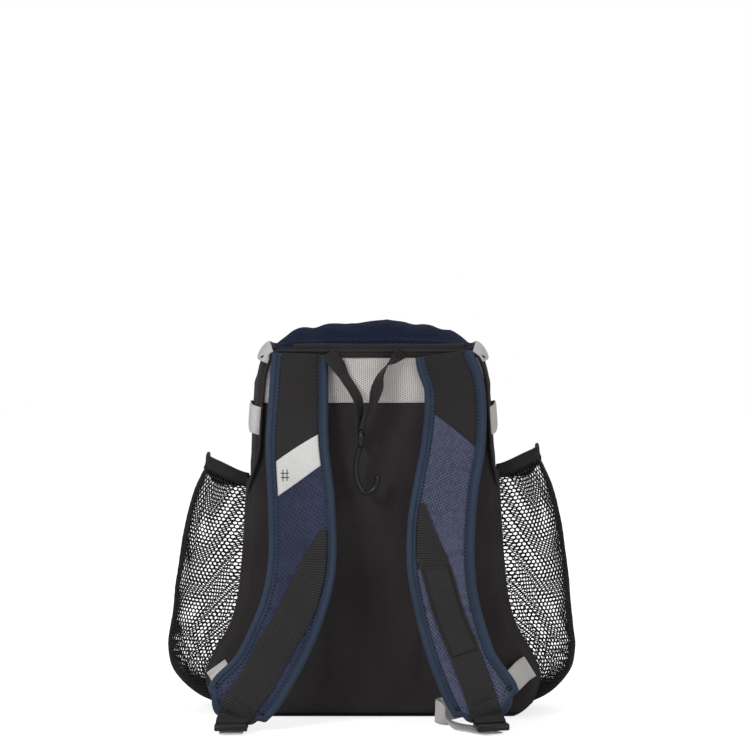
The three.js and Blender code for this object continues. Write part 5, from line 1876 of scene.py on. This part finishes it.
@dataclass
class ShoulderStrap:
    """A shoulder strap: pad, cover, binding, webbing, patch or label, buckle and its lower webbing.

    Attributes:
        suffix: Which side, in words.
        side: -1 for left and 1 for right.
        binding_width: Width of the binding on the pad, in millimetres.
        web_width: Width of the webbing on the pad, in millimetres.
        web_thickness: Its thickness, in millimetres.
        lower_width: Width of the lower grey webbing, in millimetres.
        buckle_past: From the pad's end to the buckle, in millimetres.
        bar: Width of the buckle's first bar, in millimetres.
        buckle_lift: How far the buckle's middle stands over the strap's, in millimetres.
        last_bar: From the first bar's middle to the last bar's, in millimetres.
        noise: Its unevenness' noise.
    """

    suffix: str
    side: int
    binding_width: float = 12.0
    web_width: float = 29.0
    web_thickness: float = 1.6
    lower_width: float = 25.0
    buckle_past: float = 9.0
    bar: float = 4.5
    buckle_lift: float = 1.5
    last_bar: float = 20.5
    noise: ClothNoise = field(default_factory=lambda: ClothNoise(37))

    def __post_init__(self) -> None:
        """Reads the strap's own form and tables."""
        self.form = StrapForm(self.side, STRAP_ROWS[self.suffix])
        share, rows = WEB_ROWS[self.suffix]
        table = np.asarray(rows, float)
        self.web_half = share * self.web_width / 2
        self.web_aside = Reading(table[:, 0], table[:, 1])
        self.web_top = float(table[-1, 0])
        self.cover_ends = {"left": (128.0, 100.0), "right": (103.0, 70.0)}[self.suffix]
        creases = {"left": (0.39, 0.28), "right": (0.44, 0.31)}[self.suffix]
        self.creases = [self.form.along_at(up) for up in creases]

    def build(self) -> None:
        """Makes and dresses every piece of the strap."""
        self.pad()
        self.cover()
        self.binding()
        self.web()
        if self.side < 0:
            self.patch()
        else:
            self.label()
        self.buckle()
        self.lower_web()

    def inner_half(self, along: Rows, edge: Rows | float) -> Rows:
        """Half-width of the pad between its bindings, on the side that the edge's sign names."""
        end = self.form.length
        tip = np.sqrt(np.clip((end - along) / 16.0, 0, 1))
        return np.maximum((self.form.half(along, edge) - self.binding_width) * (0.35 + 0.65 * tip), 2.0)

    def face_height(self, along: Rows, side: Rows) -> Rows:
        """Height of the pad's face over the strap's middle, with its fold lines and soft unevenness.

        Args:
            along: Lengths along the strap, in millimetres.
            side: Shares across it, from -1 to 1.

        Returns:
            The heights, in millimetres.
        """
        low, high = self.form.edge_thickness / 2, self.form.thickness / 2
        height = low + (high - low) * np.sqrt(np.clip(1 - side**4, 0, 1))
        for at, slope in zip(self.creases, (7.0, -6.0)):
            line = (along - at - slope * side) / 2.6
            height = height - 2.0 * bump(line) + 0.8 * bump(line - 2.2) + 0.7 * bump(line + 2.4)
        return height + 0.35 * self.noise.cloth(xyz(along / 26, side * 1.4, self.side)) * (1 - side**6)

    def pad(self) -> None:
        """The padded ripstop pad, backed with spacer mesh."""
        form = self.form
        rows = 150
        across = np.concatenate([np.linspace(-1, 1, 19), np.linspace(1, -1, 13), [-1.0]])
        face_up = np.concatenate([np.ones(19), -np.ones(13), [1.0]])
        cells = len(across) - 1

        def place(a: Rows, b: Rows) -> Rows:
            """Points of the pad, along it and round its section."""
            along = a * (form.length - 4.0)
            ring = np.rint(b * cells).astype(int)
            side, out = across[ring], face_up[ring]
            height = np.where(out > 0, self.face_height(along, side), -self.face_height(0 * along, side))
            return form.point(along, side * (self.inner_half(along, side) + 1.5), height)

        piece = tube(f"strap_pad_{self.suffix}_soft", (rows, cells), place, (form.length, 110))
        # Painted light: the left strap gets the shaded copy of the ripstop and the right strap the lit copy.
        finish = SHADED_RIPSTOP if self.side < 0 else LIT_RIPSTOP
        piece.data.materials.append(finish.material())
        piece.data.materials.append(PAD_BACKING.material())
        middles = np.array([p.center for p in piece.data.polygons]) / MM
        normals = np.array([p.normal for p in piece.data.polygons])
        along = np.linspace(0, form.length, 200)
        spots, _, _, faces = form.frame(along)
        nearest = np.argmin(np.linalg.norm(middles[:, None, :] - spots[None, :, :], axis=2), axis=1)
        back = np.sum(normals * faces[nearest], axis=1) < 0
        piece.data.polygons.foreach_set("material_index", back.astype(np.int32))
        dress(piece, finish, f"strap_pad_{self.suffix}")

    def over_pad(
        self,
        name: str,
        low: Callable[[Rows], Rows],
        high: Callable[[Rows], Rows],
        lift: float,
        thick: float,
        finish: Finish,
        *nodes: str,
    ) -> None:
        """A thin sheet over the pad between two slanted ends.

        Args:
            name: The piece's name.
            low: Where it starts along the strap, by the share across.
            high: Where it ends.
            lift: Height over the pad's face, in millimetres.
            thick: Its thickness, in millimetres.
            finish: Its finish.
            nodes: The frame's nodes that it replaces.
        """

        def place(a: Rows, b: Rows) -> Rows:
            """Points of the sheet, along and across the strap."""
            side = 2 * b - 1
            along = low(side) + (high(side) - low(side)) * a
            edge = -0.5 * (1 - ease(0, 0.02, a) * ease(0, 0.02, 1 - a))
            across = side * (self.inner_half(along, side) + 0.8)
            return self.form.point(along, across, self.face_height(along, side) + lift + thick + edge)

        piece = sheet(name, (70, 24), place, (110, 60), (0, -1, 0.3), thick=thick)
        dress(piece, finish, *nodes)

    def slanted(self, ends: tuple[float, float]) -> Callable[[Rows], Rows]:
        """A line straight across the strap between its lengths at the inner and outer edge."""
        inner, outer = ends
        return lambda side: inner + (outer - inner) * (side * -self.side + 1) / 2

    def cover(self) -> None:
        """The black cloth over the top of the pad, ending on a slant."""
        outer, inner = self.cover_ends
        end = self.slanted((inner, outer))
        self.over_pad(f"strap_cover_{self.suffix}", lambda side: 0 * side, end, 0.1, 0.7, TWILL)
        if self.side > 0:
            side = np.linspace(-0.97, 0.97, 50)
            along = end(side) - 2.4
            heights = self.face_height(along, side) + 0.95
            line = self.form.point(along, side * self.inner_half(along, side), heights)
            stitching("strap_cover_stitching", [line], [self.form.frame(along)[3]], DARK_THREAD, 3.2)

    def edge_line(self) -> tuple[Rows, Rows]:
        """The strap's outer edge, down one side and up the other.

        Returns:
            Its rows of lengths along and across the strap, and of the way inwards in the same terms.
        """
        form = self.form
        corner = 14.0
        down = np.linspace(0, form.length - corner, 150)
        turn = np.linspace(0.1, math.pi / 2, 9)
        sides, arcs, corners = [], [], []
        for edge in (-1, 1):
            sides.append(np.stack([down, edge * form.half(down, edge)], axis=1))
            foot_at = float(form.half(np.array([form.length]), edge)[0]) - corner
            bend = form.length - corner + corner * np.sin(turn)
            arcs.append(np.stack([bend, edge * (foot_at + corner * np.cos(turn))], axis=1))
            corners.append(edge * foot_at)
        foot = np.stack([np.full(9, form.length), np.linspace(*corners, 11)[1:-1]], axis=1)
        flat = np.vstack([sides[0], arcs[0], foot, arcs[1][::-1], sides[1][::-1]])
        run = unit(np.gradient(flat, axis=0))
        return flat, np.stack([-run[:, 1], run[:, 0]], axis=1)

    def binding(self) -> None:
        """The navy binding: a rolled edge and the flat band that is sewn down inside it."""
        form = self.form
        section = np.array([
            (12.6, 2.2), (12.4, 3.5), (10.4, 3.8), (8.5, 3.7), (7.5, 2.1), (6.7, 3.3), (5.4, 4.3), (3.6, 4.6),
            (1.6, 3.8), (0.3, 2.1), (-0.2, 0.0), (0.3, -2.1), (1.6, -3.8), (3.6, -4.2), (6.9, -3.9),
            (12.4, -3.6),
            (12.6, -2.4), (12.6, 2.2),
        ])
        flat, inward = self.edge_line()
        rows = len(flat) - 1

        def place(along: Rows, round_: Rows) -> Rows:
            """Points of the binding, along the edge and round its section."""
            row = np.rint(along * rows).astype(int)
            ring = section[np.rint(round_ * (len(section) - 1)).astype(int)]
            spot = flat[row] + inward[row] * ring[:, :1]
            soft = 0.28 * self.noise.at(xyz(flat[row][:, 0] / 9.0, np.sign(flat[row][:, 1]), ring[:, 0] / 5))
            pucker = 0.22 * np.sin(flat[row][:, 0] * 1.74) * bump((ring[:, 0] - 7.4) / 2.0)
            height = ring[:, 1] + (soft + pucker) * np.sign(ring[:, 1])
            return form.point(np.maximum(spot[:, 0], 0), spot[:, 1], height)

        piece = tube(f"strap_binding_{self.suffix}_roll", (rows, len(section) - 1), place, (900, 30))
        finer = piece.modifiers.new("finer", "SUBSURF")
        finer.levels = finer.render_levels = 1
        dress(piece, BINDING, f"strap_binding_{self.suffix}")
        lines, outs = [], []
        for inset, height, out in ((10.2, 4.05, 1), (10.2, -3.95, -1)):
            spot = flat + inward * inset
            lines.append(form.point(spot[:, 0], spot[:, 1], np.full(len(spot), height)))
            outs.append(form.frame(spot[:, 0])[3] * out)
        stitching(f"strap_binding_stitching_{self.suffix}", lines, outs, DARK_THREAD, 4.2, 1.5)

    def web_middle(self, along: Rows) -> Rows:
        """Middle of the webbing across the strap at lengths along it."""
        spot, _, across, _ = self.form.frame(np.minimum(along, self.form.length))
        aside = self.side * self.web_aside(spot[:, 2] / FORM.height) * self.form.spread
        return (aside - spot[:, 0]) * across[:, 0]

    def web(self) -> None:
        """The black webbing on the pad, folded round the buckle's first bar."""
        form = self.form
        height = form.thickness / 2 + 0.9 + self.web_thickness / 2
        bar, raised = form.length + self.buckle_past + self.bar / 2, self.buckle_lift
        over, past = (half + 0.6 + self.web_thickness / 2 for half in (2.5, self.bar / 2))
        start = form.along_at(self.web_top - 0.015)
        lying = [(start + (form.length - start) * share, height, 0) for share in (0, 0.25, 0.5, 0.75, 0.97)]
        folding = [
            (bar - 4, raised + over + 0.3, 0),
            (bar, raised + over, 0),
            (bar + past * 0.85, raised + over * 0.85, 0),
            (bar + past + 0.3, raised, 0),
            (bar + past * 0.85, raised - over * 0.85, 0),
            (bar, raised - over, 0),
            (bar - 5.4, raised - over, 0),
        ]
        route = Spline(lying + folding, 800)
        pitch = 2.6
        rows = int(route.length / pitch * 4)
        shares = route.share_at(np.linspace(0, route.length, rows + 1))
        spots, runs = route.point(shares), route.tangent(shares)
        ring = web_section(2.0, self.web_thickness)

        def place(a: Rows, b: Rows) -> Rows:
            """Points of the webbing, along it and round its section."""
            row = np.rint(a * rows).astype(int)
            section = ring[np.rint(b * (len(ring) - 1)).astype(int)]
            rib = 0.17 * np.abs(np.sin(math.pi * a * route.length / pitch))
            off = section[:, 1] + np.sign(section[:, 1]) * rib
            along = spots[row][:, 0] - runs[row][:, 1] * off
            gathered = self.web_half + (13.2 - self.web_half) * ease(form.length - 24, form.length + 4, along)
            edge = self.web_middle(along) + section[:, 0] * gathered
            room = np.where(along < form.length / 1.2, self.inner_half(along, edge) + 1.0, 1e3)
            return form.point(along, np.clip(edge, -room, room), spots[row][:, 1] + runs[row][:, 0] * off)

        cells = (rows, len(ring) - 1)
        piece = tube(f"strap_webbing_{self.suffix}", cells, place, (route.length, 70), sharp=70)
        dress(piece, WEBBING, f"strap_web_{self.suffix}")
        self.tacks(form.length - 21.0, height + self.web_thickness / 2 + 0.25)

    def tacks(self, along: float, height: float) -> None:
        """Bar tacks across the webbing over its lower end.

        Args:
            along: Length along the strap of the first, in millimetres.
            height: Their height over its middle, in millimetres.
        """
        lines, outs = [], []
        for step in (0.0, 2.2, 14.0, 16.2):
            at = np.full(30, along + step)
            across = self.web_middle(at) + np.linspace(-0.86, 0.86, 30) * self.web_half
            lines.append(self.form.point(at, across, height))
            outs.append(self.form.frame(at)[3])
        stitching(f"strap_tacks_{self.suffix}", lines, outs, DARK_THREAD, 1.7, 0.9)

    def patch(self) -> None:
        """The white number patch with its number sign."""
        low, high = self.slanted((90.0, 118.0)), self.slanted((127.0, 157.0))
        self.over_pad("number_patch_film", low, high, 0.5, 0.9, PATCH_FILM, "number_patch")
        shape = bmesh.new()
        centre_along, centre_across = 134.5, 15.5
        upright_size, level_size = (1.0, 13.0), (9.0, 1.0)
        strokes = (
            ((0.0, 2.2), upright_size),
            ((0.0, -2.2), upright_size),
            ((2.4, 0.0), level_size),
            ((-2.4, 0.0), level_size),
        )
        for (down, aside), (wide, tall) in strokes:
            at = np.array([centre_along + down])
            across = np.array([centre_across + aside])
            height = self.face_height(at, across / self.inner_half(at, across)) + 0.5 + 0.9 + 0.06
            spot = self.form.point(at, across, height)[0]
            out = self.form.frame(at)[3][0]
            upright = unit((np.array((0.0, 0.0, 1.0)) - out * out[2])[None])[0]
            level = np.cross(upright, out)
            turn = turned(Vector(level), Vector(upright), Vector(out))
            block(shape, Matrix.Translation(Vector(spot) * MM) @ turn, (wide, tall, 0.3), 0.1, 2)
        mesh = meshed("number_sign", shape)
        put_uv(mesh, read_points(mesh)[:, [0, 2]])
        dress(keep("number_sign", mesh), PATCH_INK)

    def label(self) -> None:
        """The blank woven label on the webbing, with its sewn hems."""
        form = self.form
        start, end = form.along_at(0.424), form.along_at(0.195)
        low = form.thickness / 2 + 0.9 + self.web_thickness + 0.3

        def place(a: Rows, b: Rows) -> Rows:
            """Points of the label, along and across the strap."""
            along = start + (end - start) * a
            across = self.web_middle(along) + (b - 0.5) * 27.0
            hem = 0.35 * (bump((a - 0.03) / 0.02) + bump((0.97 - a) / 0.02))
            return form.point(along, across, low + 0.8 + hem + 0.15 * self.noise.at(xyz(a * 12, b * 3, 5)))

        piece = sheet("strap_label_satin", (90, 16), place, (100, 27), (0, -1, 0.3), thick=0.8)
        dress(piece, LABEL_SATIN, "strap_label")
        lines, outs = [], []
        for at in (start + 3.2, end - 3.2):
            along = np.full(30, at)
            lines.append(form.point(along, self.web_middle(along) + np.linspace(-12.6, 12.6, 30), low + 1.35))
            outs.append(form.frame(along)[3])
        for across in (-12.4, 12.4):
            along = np.linspace(start + 4, end - 4, 80)
            lines.append(form.point(along, self.web_middle(along) + across, low + 1.0))
            outs.append(form.frame(along)[3])
        stitching("strap_label_stitching", lines, outs, DARK_THREAD, 2.4, 0.5)

    def buckle_seat(self) -> tuple[Vector, Matrix]:
        """Where the buckle sits.

        Returns:
            The middle of its first bar, in millimetres, and its turn, with its length along the strap.
        """
        bar = np.array([self.form.length + self.buckle_past + self.bar / 2])
        _, run, _, out = (rows[0] for rows in self.form.frame(bar))
        spot = self.form.point(bar, self.web_middle(bar), self.buckle_lift)[0]
        return Vector(spot), turned(Vector(np.cross(run, out)), Vector(run), Vector(out))

    def buckle(self) -> None:
        """The moulded ladder buckle: a frame with three rounded bars."""
        spot, turn = self.buckle_seat()
        shape = bmesh.new()
        spans = ((self.bar / 2, 8.0), (12.5, 18.2))
        bars = (-self.bar / 2, *spans[0], *spans[1], 22.75)
        columns = (-17.5, -14.2, 14.2, 17.5)
        bmesh.ops.create_grid(shape, x_segments=3, y_segments=5, size=0.5)
        for vertex in shape.verts:
            column, row = round((vertex.co.x + 0.5) * 3), round((vertex.co.y + 0.5) * 5)
            vertex.co = Vector((columns[column], bars[row], -2.6)) * MM
        holes = []
        for face in shape.faces:
            middle = face.calc_center_median() / MM
            if abs(middle.x) < 5 and any(low < middle.y < high for low, high in spans):
                holes.append(face)
        bmesh.ops.delete(shape, geom=holes, context="FACES")
        grown = bmesh.ops.extrude_face_region(shape, geom=shape.faces[:])
        moved = [item for item in grown["geom"] if isinstance(item, bmesh.types.BMVert)]
        bmesh.ops.translate(shape, vec=Vector((0, 0, 5.2 * MM)), verts=moved)
        lying = Matrix.Translation((0, self.last_bar * MM, 0.8 * MM)) @ Matrix.Rotation(math.pi / 2, 4, "Y")
        round_bar = 3.9 * MM
        bmesh.ops.create_cone(
            shape, cap_ends=True, segments=20, radius1=round_bar, radius2=round_bar,
            depth=35 * MM, matrix=lying,
        )
        bmesh.ops.recalc_face_normals(shape, faces=shape.faces[:])
        rims = [edge for edge in shape.edges if len(edge.link_faces) == 2 and edge.calc_face_angle() > 1.0]
        bevelled(shape, rims, 1.35, 4)
        bmesh.ops.transform(shape, matrix=Matrix.Translation(spot * MM) @ turn, verts=shape.verts[:])
        mesh = meshed(f"strap_buckle_{self.suffix}", shape)
        smooth(mesh, 50)
        put_uv(mesh, read_points(mesh)[:, :2])
        dress(keep(mesh.name, mesh), GLOSS_PLASTIC, f"buckle_{self.suffix}")

    def lower_web(self) -> None:
        """The grey webbing from the bag's lower corner to the buckle's last bar."""
        spot, turn = self.buckle_seat()
        target = np.array(spot + turn.to_3x3() @ Vector((0, self.last_bar, 0)))
        anchor = 57.0
        seam = float(FORM.seam_half(np.array([anchor]))[0])
        aside = seam - self.lower_width / 4
        face = FORM.back - float(FORM.swell(FORM.back_crown, aside / seam, panel_share(anchor)))
        start = np.array((self.side * aside, face - 0.6 - 0.75, anchor))
        table = np.asarray(LOWER_WEB_ROWS[self.suffix], float)
        across, out, high, fold, lie = table.T
        lie = np.radians(lie)
        spots = xyz(
            start[0] + (target[0] - start[0]) * across - self.side * fold * 59.0,
            start[1] + (target[1] - start[1]) * out,
            high * anchor,
        )
        turns = xyz(self.side * np.sin(lie), 0 * lie, -np.cos(lie))
        lines = (Spline(spots, 800), Spline(turns, 800))
        piece = webbing(f"lower_webbing_{self.suffix}", *lines, self.lower_width, 1.5, 2.4)
        dress(piece, GREY_WEBBING, f"lower_web_{self.suffix}")


# Hang loop and fence hook

@dataclass
class FenceHook:
    """The hang loop sewn under the yoke, and the moulded hook that swings in it.

    Attributes:
        offset: How far left of the middle it hangs, in millimetres.
        loop_width: Width of the loop's webbing, in millimetres.
        loop_thickness: Its thickness, in millimetres.
        loop_spread: What the loop's shares aside count, in millimetres.
        wire: Thickness of the hook's wire, in millimetres.
        length: Length of the hook below its eye's bar, in millimetres.
        eye_height: Height inside its eye, in millimetres.
    """

    offset: float = 13.0
    loop_width: float = 19.0
    loop_thickness: float = 1.5
    loop_spread: float = 82.0
    wire: float = 5.6
    length: float = 66.0
    eye_height: float = 9.0

    LEFT = (
        (-0.43, 1.03, 0.42, 30), (-0.32, 0.88, 0.5, 36), (-0.21, 0.7, 0.65, 60), (-0.107, 0.55, 0.8, 60),
        (-0.04, 0.42, 0.92, 60), (-0.02, 0.27, 1, 66), (-0.03, 0.12, 1, 80),
    )
    RIGHT = (
        (0.055, 0.12, 1, 90), (0.12, 0.27, 1, 105), (0.173, 0.42, 0.92, 120), (0.21, 0.56, 0.8, 130),
        (0.25, 0.72, 0.65, 110), (0.34, 0.86, 0.5, 90), (0.45, 0.95, 0.42, 60), (0.555, 1.04, 0.36, 40),
    )
    BEND = (
        (0.0, 0.2), (-0.055, 0.38), (-0.085, 0.58), (-0.06, 0.82), (0.055, 1), (0.2, 0.96), (0.265, 0.82),
        (0.275, 0.7),
    )

    def __post_init__(self) -> None:
        """Places the eye's bar, on which the loop hangs."""
        self.bar = np.array((-self.offset, FORM.back - FORM.back_crown - 18.0, YOKE_BOTTOM - 80.0))

    def build(self) -> None:
        """Makes and dresses the loop and the hook."""
        self.loop()
        self.hook()

    def branch(self, rows: Sequence[Sequence[float]]) -> tuple[list[Rows], list[Rows]]:
        """One branch of the loop.

        Args:
            rows: Shares aside, up and off the back, and the width's turn in degrees.

        Returns:
            Its spots, in millimetres, and the ways its width runs.
        """
        rise = YOKE_BOTTOM + 3.5 - self.bar[2]
        front = FORM.back - 2.0
        spots = []
        for aside, up, off, _ in rows:
            out = front + (self.bar[1] - front) * off
            spots.append(np.array((self.bar[0] + aside * self.loop_spread, out, self.bar[2] + up * rise)))
        turns = []
        for i, row in enumerate(rows):
            run = spots[min(i + 1, len(spots) - 1)] - spots[max(i - 1, 0)]
            flat = unit(np.array([[abs(run[2]), 0.0, -run[0] * np.sign(run[2])]]))[0]
            roll = math.radians(row[3])
            turns.append(flat * math.cos(roll) + np.array((0, 1.0, 0)) * math.sin(roll))
        return spots, turns

    def loop(self) -> None:
        """The loop of webbing, from the yoke through the hook's eye and back up."""
        left, right = self.branch(self.LEFT), self.branch(self.RIGHT)
        radius = self.wire / 2 + 0.8 + self.loop_thickness / 2
        under = [
            self.bar + radius * np.array((math.cos(math.radians(angle)), 0, math.sin(math.radians(angle))))
            for angle in (-180, -135, -90, -45, 0)
        ]
        spots = left[0] + under + right[0]
        turns = left[1] + [np.array((0, 1.0, 0))] * 5 + right[1]
        lines = (Spline(spots, 900), Spline(turns, 900))
        piece = webbing("hang_loop_webbing", *lines, self.loop_width, self.loop_thickness, 2.2)
        dress(piece, WEBBING, "hang_loop")

    def hook(self) -> None:
        """The moulded hook: a squared eye and a bent wire that thickens to a rounded tip."""
        half, low = self.loop_width / 2 + 1.5 + self.wire / 2, -self.wire - self.eye_height
        corner = 3.4
        wide, top, foot = half - corner, -corner, low + corner
        path = []
        for y, z, first in ((wide, top, 90), (wide, foot, 0), (-wide, foot, -90), (-wide, top, 180)):
            for angle in np.radians(np.linspace(first, first - 90, 5)):
                path.append((0, y + corner * math.cos(angle), z + corner * math.sin(angle)))
        ring = np.array([*path, path[0]]) + self.bar
        eye = rod("hook_eye", Spline(ring, 600), self.wire / 2, 1.2, 14, ring=True)
        shares = [(aside, 0.0, -down) for aside, down in self.BEND]
        rows = np.array(shares) * self.length + self.bar

        def girth(share: Rows) -> Rows:
            """Radius of the wire at shares of its length."""
            neck = 0.5 * bump(share / 0.12)
            tip = 0.45 * bump((1 - share) / 0.08)
            close = np.sqrt(np.clip((1 - share) / 0.02, 0.02, 1))
            return (self.wire / 2 + neck + tip) * close

        bend = rod("fence_hook_bend", Spline(rows, 600), girth, 1.0, 14)
        dress(eye, GLOSS_PLASTIC, body=HOOK)
        dress(bend, GLOSS_PLASTIC, "fence_hook", body=HOOK)


# The studio

@dataclass
class Studio:
    """Pale floor, soft lights and the photograph's camera.

    Attributes:
        surround: Strength of the pale surround as a light.
        distance: Camera to the back panel, in metres.
        elevation: Degrees above the horizon.
        lens: Focal length for a 36 mm sensor.
        aim: What the picture's middle looks at, in metres.
    """

    surround: float = 0.32
    distance: float = 3.5
    elevation: float = 2.5
    lens: float = 153.3
    aim: tuple[float, float, float] = (0.0022, -0.085, 0.3772)

    def build(self) -> None:
        """Makes the floor, the lights and the camera."""
        self.floor()
        self.lights()
        self.camera()

    def floor(self) -> None:
        """A wide pale floor."""
        shape = bmesh.new()
        bmesh.ops.create_grid(shape, x_segments=8, y_segments=8, size=6.0)
        mesh = meshed("floor", shape)
        material = bpy.data.materials.new("pale floor")
        material.use_nodes = True
        shader = material.node_tree.nodes["Principled BSDF"]
        shader.inputs["Base Color"].default_value = (0.8, 0.8, 0.8, 1.0)
        shader.inputs["Roughness"].default_value = 0.9
        shader.inputs["Emission Color"].default_value = (1.0, 1.0, 1.0, 1.0)
        graph = Graph(material.node_tree)
        seen = graph.add("ShaderNodeLightPath").outputs["Is Camera Ray"]
        graph.feed(shader.inputs["Emission Strength"], graph.ramp(seen, 0.0, 1.0, 0.0, 0.74))
        mesh.materials.append(material)
        keep("floor", mesh)

    def lights(self) -> None:
        """Soft boxes in front, at both sides and overhead, and an even pale surround."""
        boxes = (
            ("key", (-1.7, -2.2, 1.7), 1.0, 30.0),
            ("fill", (1.9, -2.2, 1.0), 1.4, 12.0),
            ("overhead", (0.1, 0.1, 2.6), 1.4, 6.0),
            ("rim", (0.6, 2.2, 1.8), 1.6, 12.0),
        )
        target = Vector((0, -0.05, 0.22))
        for name, spot, size, power in boxes:
            data = bpy.data.lights.new(name, "AREA")
            data.shape, data.size, data.energy = "SQUARE", size, power
            lamp = bpy.data.objects.new(name, data)
            lamp.location = spot
            lamp.rotation_euler = (target - Vector(spot)).to_track_quat("-Z", "Y").to_euler()
            bpy.context.scene.collection.objects.link(lamp)
        world = bpy.data.worlds.new("studio")
        world.use_nodes = True
        graph = Graph(world.node_tree)
        backdrop = world.node_tree.nodes["Background"]
        backdrop.inputs["Color"].default_value = (1.0, 1.0, 1.0, 1.0)
        seen = graph.add("ShaderNodeLightPath").outputs["Is Camera Ray"]
        graph.feed(backdrop.inputs["Strength"], graph.ramp(seen, 0.0, 1.0, self.surround, 1.0))
        bpy.context.scene.world = world
        bpy.context.scene.view_settings.view_transform = "Standard"

    def camera(self) -> None:
        """The photograph's camera."""
        data = bpy.data.cameras.new("camera")
        data.lens, data.sensor_width = self.lens, 36.0
        camera = bpy.data.objects.new("camera", data)
        tilt = math.radians(self.elevation)
        away = Vector((0, -math.cos(tilt), math.sin(tilt)))
        camera.location = Vector(self.aim) + away * self.distance
        camera.rotation_euler = (-away).to_track_quat("-Z", "Y").to_euler()
        bpy.context.scene.collection.objects.link(camera)
        bpy.context.scene.camera = camera


def main() -> None:
    """Builds the dressed backpack over its frame."""
    logging.basicConfig(level=logging.INFO, format="%(name)s: %(message)s")
    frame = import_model()
    Studio().build()
    sewing = Sewing()
    shell = BagShell(sewing)
    shell.build()
    sewing.settle()
    shell.finish()
    for suffix, side in SIDES:
        BatPocket(suffix, side).build()
        ShoulderStrap(suffix, side).build()
    FenceHook().build()


if __name__ == "__main__":
    main()
